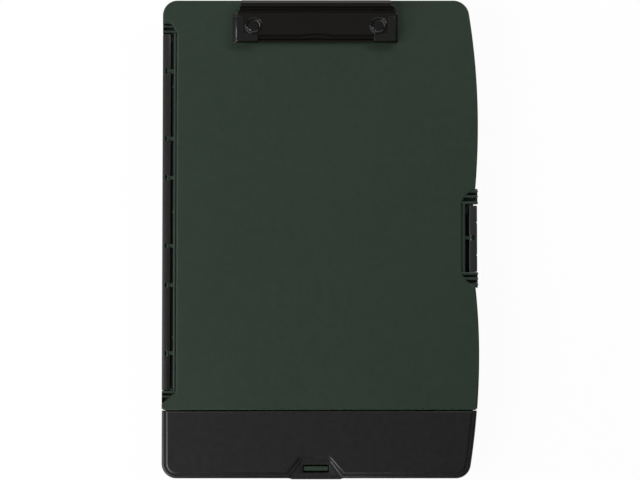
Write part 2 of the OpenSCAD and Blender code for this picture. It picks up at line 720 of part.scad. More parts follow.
// Room for an eye of the tray and its post, as the lid sees them while it opens
module post_clearance() {
    half = post_w / 2 + post_gap;
    side = wall_t / 2 + post_gap;
    reach = rod_inset + skirt_depth;
    along = [sin(lid_open), -cos(lid_open)];
    across = [cos(lid_open), sin(lid_open)];
    rod_x_axis(-half, half, rod_y, rod_z, post_eye_r + post_gap);
    translate([-half, rod_y, rod_z]) rotate([90, 0, 90]) linear_extrude(2 * half)
        polygon([[-side, 0], [-side, -reach], [reach, -reach], reach * along + side * across, side * across]);
}

module pen_lid() color(black) {
    knuckle_x0 = x_left + skirt_t - 0.4;
    knuckle_x1 = side_x(rod_y - knuckle_r, skirt_t - 0.4);
    difference() {
        union() {
            difference() {
                lid_blank();
                // inside of the lid
                intersection() {
                    outline_prism(skirt_t, z_skirt - over, lid_plate_z);
                    box([x_left, y_bot, 0], [x_right, y_lid + over, z_top]);
                }
                // raised middle cut away round the thumb tab, then the tab's lower face
                translate([clip_x, 0, border_z]) linear_extrude(2 * lid_rise)
                    tab_plan(tab_border, y_bot - over);
                translate([clip_x, 0, tab_face_z]) linear_extrude(2 * lid_plate_t)
                    tab_plan(0, y_bot - over);
            }
            // knuckles round the rod
            rod_x_axis(knuckle_x0, knuckle_x1, rod_y, rod_z, knuckle_r);
            box([knuckle_x0, rod_y - over, rod_z], [knuckle_x1, y_lid, border_z - 0.2]);
            // thicker plate round the slot
            box([clip_x - slot_frame_w / 2, slot_y0 - slot_frame + 0.4, slot_frame_z],
                [clip_x + slot_frame_w / 2, slot_y1 + slot_frame, tab_face_z - 0.2]);
        }
        edge_round(y_lid, 1, lid_rear_r);
        for (x = post_x) translate([x, 0, 0]) post_clearance();
        rod_x_axis(post_x0 - rod_end - root, post_x1 + rod_end + root, rod_y, rod_z, rod_r + pin_gap);
        box([clip_x - slot_w / 2, slot_y0, z_skirt], [clip_x + slot_w / 2, slot_y1, z_top + over]);
    }
}

module pen_lid_hinge_rod() color(steel) {
    rod_x_axis(post_x0 - rod_end, post_x1 + rod_end, rod_y, rod_z, rod_r);
}

// ---------- clip ----------

// Outline of a bent strip of thickness t along a centre line
function strip(pts, t) =
    let (n = len(pts),
         side = [for (i = [0 : n - 1]) let (
             d = pts[min(i + 1, n - 1)] - pts[max(i - 1, 0)]) [-d[1], d[0]] / norm(d) * t / 2])
    concat([for (i = [0 : n - 1]) pts[i] + side[i]], [for (i = [n - 1 : -1 : 0]) pts[i] - side[i]]);

// Centre line of the lever's section, in [y, z], from the rear lip over the roll to the front tip
roll_start = -25;
roll_end = 128;
lever_line = concat(
    [[axle_y + roll_mid_r * cos(roll_start), axle_zz + roll_mid_r * sin(roll_start)]],
    arc([axle_y, axle_zz], roll_mid_r, roll_start, roll_end, 14),
    [[axle_y - 4.1, panel_zz + 0.45], [axle_y - 4.9, panel_zz + 0.1], [axle_y - 5.8, panel_zz]],
    [[bend_y + 0.8, panel_zz], [bend_y, panel_zz - 0.2], [bend_y - 0.7, panel_zz - 0.8]],
    [[lip_y, z_top + sheet_t / 2 + lip_lift]]);

// Places the children on both sides of the clip's middle
module both_sides() {
    translate([clip_x, 0, 0]) {
        children();
        mirror([1, 0, 0]) children();
    }
}

// Shoulder of the lever's panel beside a grip's rear end, with an S-shaped edge towards the roll
module lever_shoulder() {
    inner = grip_edge - over;
    translate([0, 0, panel_zz - sheet_t / 2]) linear_extrude(sheet_t)
        polygon([[inner, grip_y1 + 0.3], [grip_out, grip_y1 + 0.3], [grip_out, axle_y - 7.2],
            [grip_out - 1.7, axle_y - 5.2], [clip_w / 2 - root, shoulder_y], [inner, shoulder_y]]);
}

module clip_lever() color(gloss_black) {
    cut_h = 2 * (axle_z + clip_roll_r);
    difference() {
        union() {
            translate([clip_x + clip_w / 2, 0, 0]) rotate([90, 0, -90]) mirror([1, 0, 0])
                linear_extrude(clip_w) polygon(strip(lever_line, sheet_t));
            both_sides() {
                lever_shoulder();
                // cheek that closes the roll's end and turns on the axle
                rod_x_axis(clip_w / 2 - sheet_t, clip_w / 2, axle_y, axle_zz, roll_mid_r - 0.3);
            }
        }
        // front corners, where the grips' rims stand
        both_sides() {
            box([grip_edge, lip_y - over, z_top - over], [clip_w, grip_y1, z_top + cut_h]);
            box([grip_in, lip_y - over, z_top - over], [clip_w, grip_rim_y, z_top + cut_h]);
            translate([button_pitch / 2, button_y, z_top]) cylinder(r = button_hole_r, h = cut_h);
        }
        rod_x_axis(clip_x - clip_w, clip_x + clip_w, axle_y, axle_zz, axle_r + pin_gap);
    }
}

module clip_base_plate() color(gloss_black) {
    rear_y = axle_y + ear_r - over;
    difference() {
        union() {
            box([clip_x - plate_half, plate_front, z_top], [clip_x + plate_half, axle_y, z_top + sheet_t]);
            box([clip_x - ear_x - ear_t, axle_y - ear_r, z_top],
                [clip_x + ear_x + ear_t, rear_y, z_top + sheet_t]);
            both_sides() {
                box([ear_x, axle_y - ear_r, z_top], [ear_x + ear_t, rear_y, axle_zz]);
                rod_x_axis(ear_x, ear_x + ear_t, axle_y, axle_zz, ear_r);
            }
        }
        rod_x_axis(clip_x - clip_w, clip_x + clip_w, axle_y, axle_zz, axle_r + pin_seat);
        both_sides() translate([rivet_pitch / 2, rivet_y, z_top - over])
            cylinder(r = rivet_r + pin_seat, h = sheet_t + 2 * over);
    }
}

module clip_axle() color(steel) {
    end = ear_x + ear_t;
    head = axle_r + 0.6;
    rod_x_axis(clip_x - end - 0.5, clip_x + end + 0.5, axle_y, axle_zz, axle_r);
    both_sides() translate([end, axle_y, axle_zz]) rotate([0, 90, 0]) rotate_extrude()
        polygon([[0, 0], [head, 0], [head, 0.4], [head - 0.8, 1], [0, 1]]);
}

// A round wire along points in planes across X, with 8 sides
module wire(pts, r) {
    n = len(pts);
    k = 8;
    rings = [for (i = [0 : n - 1]) let (
        d = pts[min(i + 1, n - 1)] - pts[max(i - 1, 0)], t = d / norm(d),
        u0 = cross(t, [1, 0, 0]), u = u0 / norm(u0), v = cross(t, u))
        [for (j = [0 : k - 1]) let (a = 360 * j / k) pts[i] + r * (cos(a) * u + sin(a) * v)]];
    polyhedron(
        points = [for (q = rings) for (p = q) p],
        faces = concat(
            [[for (j = [0 : k - 1]) j]],
            [[for (j = [k - 1 : -1 : 0]) (n - 1) * k + j]],
            [for (i = [0 : n - 2]) for (j = [0 : k - 1]) let (m = (j + 1) % k)
                [i * k + j, (i + 1) * k + j, (i + 1) * k + m, i * k + m]]),
        convexity = 8);
}

// Torsion spring on the axle: one leg lies forward on the base plate, the other pushes the rear lip
module clip_spring(side) color(steel) {
    coil_r = axle_r + 0.25 + spring_wire_r;
    turns = 6;
    steps = 14;
    pitch = 2 * spring_wire_r + 0.35;
    x0 = rivet_pitch / 2 - 13;
    leg_z = z_top + sheet_t + spring_wire_r + 0.02;
    coil = [for (i = [0 : (turns + 0.5) * steps]) let (a = 360 * i / steps - 90)
        [x0 + pitch * i / steps, axle_y + coil_r * cos(a), axle_zz + coil_r * sin(a)]];
    points = concat(
        [[x0, axle_y - 17, leg_z], [x0, axle_y - 8, leg_z], [x0, axle_y - 3.4, leg_z + 0.25]],
        coil,
        [[x0 + pitch * (turns + 0.5), axle_y - 1.4, axle_zz + coil_r]]);
    translate([clip_x, 0, 0]) mirror([side > 0 ? 0 : 1, 0, 0]) wire(points, spring_wire_r);
}

module clip_grip(side) color(rubber_black) {
    top_z = panel_zz + sheet_t / 2;
    under_z = panel_zz - sheet_t / 2;
    foot_z = z_top + grip_lift;
    lean = 0.8;                        // how far the front face leans back
    translate([clip_x, 0, 0]) mirror([side > 0 ? 0 : 1, 0, 0]) {
        difference() {
            hull() {
                box([grip_in, grip_y0, foot_z], [grip_out + grip_flare, grip_y1, foot_z + 0.65]);
                box([grip_in, grip_y0 + lean, top_z - 0.4], [grip_out, grip_y1, top_z]);
            }
            // room for the lever's sheet
            box([grip_in - over, grip_rim_y, under_z], [grip_edge, grip_y1 + over, top_z + over]);
        }
        // button, with its neck through the lever's hole
        translate([button_pitch / 2, button_y, under_z - over])
            cylinder(r = button_hole_r, h = sheet_t + over);
        translate([button_pitch / 2, button_y, top_z]) rotate_extrude()
            polygon([[0, 0], [button_r, 0], [button_r - 0.3, button_h / 2], [button_r - 1.2, button_h],
                [button_r - 1.9, button_h], [button_r - 2.4, 0.4], [0, 0.3]]);
    }
}

module clip_rivet(side) color(steel) {
    tail_h = 1;
    translate([clip_x + side * rivet_pitch / 2, rivet_y, 0]) {
        translate([0, 0, rivet_low - tail_h / 2])
            cylinder(r = rivet_r, h = z_top + sheet_t + tail_h - rivet_low);
        translate([0, 0, z_top + sheet_t]) rotate_extrude()
            polygon([[0, 0], [rivet_head_r, 0], [rivet_head_r - 0.1, 0.5], [rivet_head_r - 0.8, 1],
                [rivet_head_r - 2, 1.3], [0, 1.4]]);
        translate([0, 0, rivet_low - tail_h]) rotate_extrude()
            polygon([[0, 0.4], [1.2, 0], [2.6, 0.1], [3.2, 0.6], [3.2, tail_h], [0, tail_h]]);
    }
}

module rivet_washer(side) color(steel) {
    translate([clip_x + side * rivet_pitch / 2, rivet_y, rivet_low]) difference() {
        cylinder(r = washer_r, h = washer_t);
        translate([0, 0, -over]) cylinder(r = rivet_r + pin_seat, h = washer_t + 2 * over);
    }
}

base_tray();
main_cover();
hinge_bar();
hinge_pin(pin_z_hi);  // hinge_pin_cover
hinge_pin(pin_z_lo);  // hinge_pin_base
side_latch();
side_latch_pin();
pen_lid();
pen_lid_hinge_rod();
clip_base_plate();
clip_lever();
clip_axle();
clip_spring(-1);  // clip_spring_left
clip_spring(1);  // clip_spring_right
clip_grip(-1);  // clip_grip_left
clip_grip(1);  // clip_grip_right
clip_rivet(-1);  // clip_rivet_left
clip_rivet(1);  // clip_rivet_right
rivet_washer(-1);  // rivet_washer_left
rivet_washer(1);  // rivet_washer_right
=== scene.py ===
import json
import math
import bpy
import bmesh
import numpy as np
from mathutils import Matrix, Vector
from mathutils.geometry import tessellate_polygon

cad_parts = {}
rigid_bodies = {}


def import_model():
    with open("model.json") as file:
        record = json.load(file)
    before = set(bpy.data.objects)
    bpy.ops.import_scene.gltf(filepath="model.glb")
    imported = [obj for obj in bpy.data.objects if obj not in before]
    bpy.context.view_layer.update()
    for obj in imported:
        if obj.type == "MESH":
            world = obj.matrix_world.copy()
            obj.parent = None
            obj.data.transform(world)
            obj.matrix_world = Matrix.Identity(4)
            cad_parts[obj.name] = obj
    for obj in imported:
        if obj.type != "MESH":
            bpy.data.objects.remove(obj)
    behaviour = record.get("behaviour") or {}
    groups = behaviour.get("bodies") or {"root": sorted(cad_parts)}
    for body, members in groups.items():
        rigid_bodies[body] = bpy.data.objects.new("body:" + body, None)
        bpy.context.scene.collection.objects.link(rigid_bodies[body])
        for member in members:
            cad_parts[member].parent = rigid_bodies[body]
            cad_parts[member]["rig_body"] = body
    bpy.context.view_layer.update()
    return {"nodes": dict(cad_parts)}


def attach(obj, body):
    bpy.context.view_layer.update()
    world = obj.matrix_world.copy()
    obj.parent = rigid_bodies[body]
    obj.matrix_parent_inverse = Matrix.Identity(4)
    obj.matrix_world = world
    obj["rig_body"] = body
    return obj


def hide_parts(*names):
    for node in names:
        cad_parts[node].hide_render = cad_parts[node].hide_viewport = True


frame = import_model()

mm = 0.001
nodes = frame["nodes"]
print("frame loaded:", len(nodes), "nodes")

# sizes that the pieces share, in millimetres: x towards the latch, y towards the clip, z up
case = {
    "left": -130.3, "top": 197.25, "bottom": -196.45, "face": 25.0,
    "cornerR": 12.3, "highRightR": 13.4, "arcSteps": 18,
    # the latch side's two bulges: the apex, and the radius above and below it
    "bulgeHigh": {"x": 129.9, "y": 95.4, "above": 585.0, "below": 630.0},
    "bulgeLow": {"x": 130.3, "y": -93.6, "above": 515.0, "below": 600.0},
    "bulgesMeet": 6.0,
    "skirtFoot": 18.5, "skirtWall": 1.8,
    "coverEnd": -140.6, "lidRear": -141.15,
    "hingeFrom": -125.2, "hingeTo": 170.0, "latchFrom": -27.5, "latchTo": 28.8,
    "rim": 129.7,                      # outer rim of the latch frame
    "pinX": -125.7, "pinHigh": 21.6, "latchPinX": 124.3, "eyeRoom": 2.3, "eyeDrop": 2.2,
    "coverArms": (-93.9, -38.0, -5.7, 50.5, 82.8, 138.7), "latchArm": 0.8,
    "clipX": -3.7,
}

# surfaces: a solid is a pair of vertices and faces, in millimetres
sharpAngle = 32                        # edges that turn by more degrees stay sharp
flatRing = 0.15                        # between a rounded edge and the end face beside it
cutPast = 2.0                          # how far a cut reaches past the piece that it is taken from
alongX = (2, 0, 1)                     # loop in (y, z), carried along x
alongY = (0, 2, 1)                     # loop in (x, z), carried along y


def arcPoints(centre, r, start, end, n):
    # points on a circle from one angle to another in degrees, both ends included
    a = np.radians(np.linspace(start, end, n))
    return np.stack([centre[0] + r * np.cos(a), centre[1] + r * np.sin(a)], 1)


def insetLoop(loop, d):
    # moves each edge of an anticlockwise loop inwards by its own distance;
    # a corner goes to where its two moved edges meet
    loop = np.asarray(loop, float)
    edge = np.roll(loop, -1, 0) - loop
    n = np.stack([-edge[:, 1], edge[:, 0]], 1) / np.linalg.norm(edge, axis=1)[:, None]
    back = np.roll(n, 1, 0)
    d = np.broadcast_to(np.asarray(d, float), (len(loop),))
    dBack = np.roll(d, 1)
    cosine = (n * back).sum(1)
    straight = cosine > 0.9995         # edges in line share the mean of their distances
    low = np.where(straight, 1.0, 1 - cosine * cosine)
    a = np.where(straight, 0.25 * (d + dBack), (dBack - cosine * d) / low)
    b = np.where(straight, 0.25 * (d + dBack), (d - cosine * dBack) / low)
    return loop + a[:, None] * back + b[:, None] * n


def roundCorners(points, radii, n=6):
    # replaces each corner of a polygon by an arc of its own radius that touches both edges
    p = np.asarray(points, float)
    radii = np.broadcast_to(radii, len(p))
    out = []
    for i, r in enumerate(radii):
        if r <= 0:
            out.append(p[i][None])
            continue
        a, b = p[i - 1] - p[i], p[(i + 1) % len(p)] - p[i]
        a, b = a / np.linalg.norm(a), b / np.linalg.norm(b)
        half = math.acos(float(np.clip(a @ b, -1, 1))) / 2
        mid = (a + b) / np.linalg.norm(a + b)
        centre = p[i] + mid * r / math.sin(half)
        s, e = (p[i] + way * r / math.tan(half) - centre for way in (a, b))
        start = math.atan2(s[1], s[0])
        turn = (math.atan2(e[1], e[0]) - start + math.pi) % (2 * math.pi) - math.pi
        t = start + turn * np.linspace(0, 1, n)
        out.append(centre + r * np.stack([np.cos(t), np.sin(t)], 1))
    return np.concatenate(out)


def rectangleLoop(x0, y0, x1, y1, r=0.6):
    # a rectangle with its four corners rounded
    return roundCorners([(x0, y0), (x1, y0), (x1, y1), (x0, y1)], r, 5)


def liftLoop(loop, level):
    # a flat loop set at a level
    return np.column_stack([loop, np.full(len(loop), level)])


def ringSolid(rings, closed=True):
    # quads between neighbouring rings of equally many points; when closed, a flat face on the
    # first and the last
    rings = np.asarray(rings)
    m, n = rings.shape[:2]
    i = np.arange(n)
    j = (i + 1) % n
    k = (np.arange(m - 1) * n)[:, None]
    faces = np.stack([k + i, k + j, k + n + j, k + n + i], -1).reshape(-1, 4).tolist()
    if closed:
        faces += [i[::-1].tolist(), ((m - 1) * n + i).tolist()]
    return rings.reshape(-1, 3), faces


def carriedLoop(loop, steps, closed=True):
    # a loop moved in and lifted by each step of inset and level
    return ringSolid([liftLoop(insetLoop(loop, d), z) for d, z in steps], closed)


def sheetWithHoles(loops, level):
    # a flat face inside the first loop and outside the others
    v = np.concatenate([liftLoop(q, level) for q in loops])
    triangles = tessellate_polygon([[Vector((p[0], p[1], 0)) for p in q] for q in loops])
    return v, [list(t) for t in triangles]


def roundOver(top, r, n):
    # inset and level along a rounded top edge, a quarter circle
    a = np.radians(np.linspace(0, 90, n))
    return [(r * (1 - math.cos(x)), top - r + r * math.sin(x)) for x in a]


def roundUnder(bottom, r, n):
    # the same along a rounded bottom edge, from the bottom up
    return [(i, 2 * bottom - z) for i, z in roundOver(bottom, r, n)][::-1]


def blockSolid(loop, bottom, top, rTop=0.4, rBottom=0.2, n=5):
    # a loop carried up from bottom to top with both edges rounded
    return carriedLoop(loop, [(rBottom + flatRing, bottom)] + roundUnder(bottom, rBottom, 4)
                       + roundOver(top, rTop, n) + [(rTop + flatRing, top)])


def turned(part, order):
    # swaps the axes of a solid, so that it is carried along X or Y instead of Z
    v, f = part
    return v[:, list(order)], f


def joined(parts):
    # several solids as one
    verts, faces, at = [], [], 0
    for v, f in parts:
        verts.append(v)
        faces += [[at + i for i in q] for q in f]
        at += len(v)
    return np.concatenate(verts), faces


def railSolid(loop, start, end, r, flat):
    # a section carried along Y with rounded ends, each with a face moved in by flat
    steps = [(flat, start)] + roundUnder(start, r, 5) + roundOver(end, r, 5) + [(flat, end)]
    return turned(carriedLoop(loop, steps), alongY)


def boredSolid(loop, hole, steps, order):
    # a loop carried through the steps of inset and level, with a straight open hole along it
    ends = (steps[0], steps[-1])
    parts = [carriedLoop(loop, steps, False), ringSolid([liftLoop(hole, z) for d, z in ends], False)]
    parts += [sheetWithHoles([insetLoop(loop, d), hole], z) for d, z in ends]
    return joined([turned(part, order) for part in parts])


def bevelledSteps(start, end, d):
    # both ends of a length bevelled by d
    return [(d, start), (0, start + d), (0, end - d), (d, end)]


def gapCut(x0, x1, y, half, low, high):
    # an upright slot through a rail, where an arm's eye turns
    return blockSolid(rectangleLoop(x0, y - half, x1, y + half, 0.3), low, high, 0.2)


def pocketCut(x0, x1, y0, y1, low, high):
    # a moulding pocket, sunk along X
    return turned(blockSolid(rectangleLoop(y0, low, y1, high, 0.8), x0, x1, 0.3, 0.4), alongX)


def lathe(profile, centre, n=56):
    # turns a profile of radius and level about an upright axis; a radius of 0 is a pole
    p = np.asarray(profile, float)
    t = np.linspace(0, 2 * math.pi, n, endpoint=False)
    rings = np.stack([centre[0] + p[:, :1] * np.cos(t), centre[1] + p[:, :1] * np.sin(t),
                      np.repeat(p[:, 1:], n, 1)], -1)
    return ringSolid(rings)


def tubeAlong(path, r, n=12):
    # circles of one radius set square to a path that never runs along X
    p = np.asarray(path, float)
    t = np.gradient(p, axis=0)
    t /= np.linalg.norm(t, axis=1)[:, None]
    side = np.cross(t, np.array([1.0, 0, 0]))
    side /= np.linalg.norm(side, axis=1)[:, None]
    other = np.cross(t, side)
    a = np.linspace(0, 2 * math.pi, n, endpoint=False)[None, :, None]
    return ringSolid(p[:, None] + r * (np.cos(a) * side[:, None] + np.sin(a) * other[:, None]))


def addObject(name, data):
    obj = bpy.data.objects.new(name, data)
    bpy.context.scene.collection.objects.link(obj)
    return obj


def smoothMesh(mesh, sharp):
    # smooth shading with sharp edges above an angle in degrees
    mesh.polygons.foreach_set("use_smooth", np.ones(len(mesh.polygons), bool))
    mesh.set_sharp_from_angle(angle=math.radians(sharp))


def tidyMesh(mesh, sharp):
    # merges poles and other double points, and turns all faces outwards
    bm = bmesh.new()
    bm.from_mesh(mesh)
    bmesh.ops.remove_doubles(bm, verts=bm.verts, dist=1e-7)
    bmesh.ops.recalc_face_normals(bm, faces=bm.faces)
    bm.to_mesh(mesh)
    bm.free()
    smoothMesh(mesh, sharp)
    mesh.update()


def solidObject(name, parts, sharp=sharpAngle):
    # one object from closed solids, facing outwards
    v, f = joined(parts)
    mesh = bpy.data.meshes.new(name)
    mesh.from_pydata((v * mm).tolist(), [], f)
    obj = addObject(name, mesh)
    tidyMesh(mesh, sharp)
    return obj


def makePiece(name, parts, body, finish, sharp=sharpAngle, cuts=None, change=None):
    # a visible piece riding on a body; cuts are taken out of it, and change is made last to its shape
    obj = solidObject(name, parts, sharp)
    if cuts:
        cutAway(obj, cuts)
    if change:
        change(obj)
    obj.data.materials.clear()
    obj.data.materials.append(materials[finish])
    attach(obj, body)
    return obj


def cutAway(obj, cutters):
    # takes the cutters' solids out of a piece
    tool = solidObject("cutter", cutters)
    mod = obj.modifiers.new("cut", "BOOLEAN")
    mod.operation, mod.solver, mod.object, mod.use_self = "DIFFERENCE", "EXACT", tool, True
    graph = bpy.context.evaluated_depsgraph_get()
    done = bpy.data.meshes.new_from_object(obj.evaluated_get(graph))
    obj.modifiers.clear()
    obj.data = done
    bpy.data.objects.remove(tool)
    tidyMesh(done, sharpAngle)


# materials: colours from 0 to 255, the range of roughness, the grain's size and depth in mm
# the edge colour is partly wear and partly a painted highlight on convex edges and rib tops
finishes = {
    "greenPlastic": {
        "colour": (35, 49, 39), "lighter": (38, 52, 42), "edgeWearAndHighlight": (60, 77, 67),
        "rough": (0.44, 0.52), "grain": 0.45, "grainDepth": 0.010, "specular": 0.32},
    "blackPlastic": {
        "colour": (16, 16, 16), "lighter": (19, 19, 19), "edgeWearAndHighlight": (56, 56, 58),
        "rough": (0.38, 0.46), "grain": 0.45, "grainDepth": 0.010, "specular": 0.45},
    # the lid's black plastic made lighter for the hinge bar and latch; the extra lightness is painted light
    # on them
    "blackPlasticPaintedLighter": {
        "colour": (27, 27, 27), "lighter": (30, 30, 30), "edgeWearAndHighlight": (60, 60, 62),
        "rough": (0.38, 0.46), "grain": 0.45, "grainDepth": 0.010, "specular": 0.5},
    "clipLacquer": {
        "colour": (8, 5, 2), "lighter": (10, 8, 4), "edgeWearAndHighlight": (36, 35, 33),
        "rough": (0.09, 0.14), "grain": 1.6, "grainDepth": 0.003, "specular": 0.42},
    "gripRubber": {
        "colour": (10, 10, 9), "lighter": (13, 13, 12), "edgeWearAndHighlight": (36, 35, 34),
        "rough": (0.15, 0.21), "grain": 0.8, "grainDepth": 0.003, "specular": 0.52},
    "buttonPlastic": {
        "colour": (10, 10, 9), "lighter": (12, 12, 11), "edgeWearAndHighlight": (34, 34, 33),
        "rough": (0.08, 0.11), "grain": 0.8, "grainDepth": 0.002, "specular": 0.4},
    "blackSteel": {
        "colour": (48, 47, 46), "lighter": (54, 53, 52), "edgeWearAndHighlight": (90, 89, 88), "metal": 1.0,
        "rough": (0.26, 0.36), "grain": 0.7, "grainDepth": 0.003, "specular": 0.5},
    "brightSteel": {
        "colour": (176, 178, 182), "lighter": (190, 191, 194), "edgeWearAndHighlight": (205, 206, 208), "metal": 1.0,
        "rough": (0.2, 0.34), "grain": 0.7, "grainDepth": 0.003, "specular": 0.5},
}
# what all finishes share: the mottling's scales, the width and reach of the worn and painted-highlight edges,
# and the bump's strength
mottle = {
    "broad": 14.0, "fine": 260.0, "fineShare": 0.65, "broadShare": 0.35, "from": 0.36, "to": 0.64,
    "glossFrom": 0.3, "glossTo": 0.7,
    "edgeWearAndHighlightWidth": 0.0007, "edgeWearAndHighlightFrom": 0.985, "edgeWearAndHighlightTo": 0.86, "edgeWearAndHighlightShare": 0.7, "bump": 0.6,
}
mixFactor, mixA, mixB, mixResult = 0, 6, 7, 2      # sockets of a node that mixes colours


def linear(r, g, b):
    # a display colour as linear light, by the sRGB curve
    c = np.array([r, g, b]) / 255
    return tuple(np.where(c <= 0.04045, c / 12.92, ((c + 0.055) / 1.055) ** 2.4)) + (1.0,)


def addNode(tree, kind, inputs=None, **settings):
    # a shader node; an input takes a value or another node's socket
    node = tree.nodes.new(kind)
    for key, value in settings.items():
        setattr(node, key, value)
    setInputs(tree, node, inputs or {})
    return node


def setInputs(tree, node, inputs):
    for key, value in inputs.items():
        if isinstance(value, bpy.types.NodeSocket):
            tree.links.new(value, node.inputs[key])
        else:
            node.inputs[key].default_value = value


def makeFinish(name, f):
    # colour with broad and fine mottling and paler edges (partly wear, partly a painted highlight), a moulded
    # grain, and patches of gloss
    m = mottle
    mat = bpy.data.materials.new(name)
    mat.use_nodes = True
    tree = mat.node_tree
    place = addNode(tree, "ShaderNodeTexCoord").outputs["Object"]

    def noise(scale, detail, roughness):
        inputs = {"Vector": place, "Scale": scale, "Detail": detail, "Roughness": roughness}
        return addNode(tree, "ShaderNodeTexNoise", inputs).outputs["Fac"]

    def spread(value, start, end, low=0.0, high=1.0):
        inputs = {"Value": value, "From Min": start, "From Max": end, "To Min": low, "To Max": high}
        return addNode(tree, "ShaderNodeMapRange", inputs).outputs[0]

    def calculated(operation, *values):
        inputs = dict(enumerate(values))
        return addNode(tree, "ShaderNodeMath", inputs, operation=operation).outputs[0]

    def mixed(share, first, second):
        inputs = {mixFactor: share, mixA: first, mixB: second}
        return addNode(tree, "ShaderNodeMix", inputs, data_type="RGBA").outputs[mixResult]

    broad, fine = noise(m["broad"], 3.0, 0.55), noise(m["fine"], 4.0, 0.6)
    grain = noise(1000.0 / f["grain"], 2.0, 0.5)
    both = calculated("MULTIPLY_ADD", fine, m["fineShare"], calculated("MULTIPLY", broad, m["broadShare"]))
    tone = mixed(spread(both, m["from"], m["to"]), linear(*f["colour"]), linear(*f["lighter"]))
    # paler edges, partly wear and partly a painted highlight: where a widely rounded normal leaves the true
    # one, broken up by the fine pattern
    rounded = addNode(tree, "ShaderNodeBevel", {"Radius": m["edgeWearAndHighlightWidth"]}, samples=4)
    true = addNode(tree, "ShaderNodeNewGeometry")
    normals = {0: rounded.outputs[0], 1: true.outputs["Normal"]}
    alike = addNode(tree, "ShaderNodeVectorMath", normals, operation="DOT_PRODUCT").outputs["Value"]
    edgeWearAndHighlight = calculated("MULTIPLY", spread(alike, m["edgeWearAndHighlightFrom"], m["edgeWearAndHighlightTo"], high=m["edgeWearAndHighlightShare"]), fine)
    heights = {"Strength": m["bump"], "Distance": f["grainDepth"] * mm, "Height": grain}
    setInputs(tree, tree.nodes["Principled BSDF"], {
        "Base Color": mixed(edgeWearAndHighlight, tone, linear(*f["edgeWearAndHighlight"])),
        "Roughness": spread(fine, m["glossFrom"], m["glossTo"], *f["rough"]),
        "Normal": addNode(tree, "ShaderNodeBump", heights).outputs[0],
        "Specular IOR Level": f["specular"],
        "Metallic": f.get("metal", 0.0)})
    return mat


materials = {name: makeFinish(name, f) for name, f in finishes.items()}
print("materials made")


# the case's outline

def beside(bulge, y, d=0.0):
    # x of a bulge's side at y, an arc of one radius above its apex and another below, moved in by d
    r = np.where(y < bulge["y"], bulge["below"], bulge["above"])
    return bulge["x"] - r + np.sqrt((r - d) ** 2 - (y - bulge["y"]) ** 2)


def sideX(y):
    # x of the latch side at y: the upper bulge's arc above the place where the two meet
    high, low = beside(case["bulgeHigh"], y), beside(case["bulgeLow"], y)
    return np.where(np.asarray(y) > case["bulgesMeet"], high, low)


def cornerCentre(bulge, y, cornerR):
    # the centre of a corner that touches the bulge, and the direction in which it does
    x = float(beside(bulge, y, cornerR))
    r = bulge["below"] if y < bulge["y"] else bulge["above"]
    return (x, y), math.degrees(math.atan2(y - bulge["y"], x - bulge["x"] + r))


def bulgeSide(y0, y1, n):
    # points up the latch side between two heights
    y = np.linspace(y0, y1, n)
    return np.column_stack([sideX(y), y])


# edge profiles: each gives how far an edge has moved in at a level

def quarter(top, r):
    # a quarter circle that ends at the top
    return lambda z: r - math.sqrt(max(r * r - max(z - top + r, 0.0) ** 2, 0.0))


def between(points):
    # straight lines between pairs of level and inset
    levels, insets = zip(*points)
    return lambda z: float(np.interp(z, levels, insets))


def levelRings(loop, kinds, levels, profiles):
    # one ring a level, each edge moved in by the profile of its kind
    return [liftLoop(insetLoop(loop, np.array([profiles[k](z) for k in kinds])), z) for z in levels]


def edgeLevels(top, high):
    # levels up to the top that draw together like the points of a quarter circle
    return (top - high * (1 - np.sin(np.radians(np.linspace(0, 90, 12))))).tolist()


def underSteps(plate, flat, curve, r):
    # inset and level below a plate: its flat underside, a rounded inner corner, and the skirt's wall
    wall, foot = case["skirtWall"], case["skirtFoot"]
    return [(wall + flat, plate), (wall + curve, plate - 0.1), (wall, plate - r), (wall, foot + 0.2),
            (wall - 0.2, foot)]


# main cover
cover = {
    "edgeR": 1.1, "seamR": 1.1, "stepHigh": 1.5, "plateUnder": 22.8, "topRing": 0.35,
    "bevel": ((1.5, 0), (0.12, 1.15), (0, 1.27)),             # drop from the face and inset of a scoop's edge
    "wallLeft": 9.15, "wallRight": 10.6, "wallPast": 0.6,     # from the rim to the recess wall
    "notchIn": 1.2, "notchDeep": 1.0, "seamLevels": (22.8, 23.5), "seamUnder": 0.5,
    "beadDrop": (0.85, 1.35), "grooveDrop": (1.5, 2.0),       # on the hinge side and on the latch side
    "boxScoop": ((0, 8.0), (7.0, 7.8), (11.8, 0)), "boxScoopR": 2.5,
    # width, length and power of the diagonal scoops
    "scoops": {"lowLeft": (11.6, 10.3, 1.9), "highRight": (13.2, 12.0, 1.3), "lowRight": (13.2, 12.0, 1.3)},
    # where each scoop's ribs start and end, away from the recess
    "fins": {"highLeft": ((0.6, 2.2), (4.9, 6.3)), "lowLeft": ((-0.35, 1.4), (3.7, 5.0)),
             "highRight": ((-0.1, 2.0), (5.0, 7.0), (9.2, 11.3)),
             "lowRight": ((0.0, 2.2), (4.3, 6.4), (9.0, 11.3))},
    "finDrop": 0.45, "finR": 0.7, "floorWall": 0.7, "floorSpare": 0.8, "lowWallTop": 23.3,
    "lipOut": 1.55, "lipTop": 19.4,
    "stops": (-81.0, 22.4, 125.8), "stopOut": 1.5, "stopDrop": 1.8,
    "eyeR": 1.7, "eyeBore": 0.95, "armHalf": 1.5, "armThick": 1.1, "armEdge": 0.22,
}


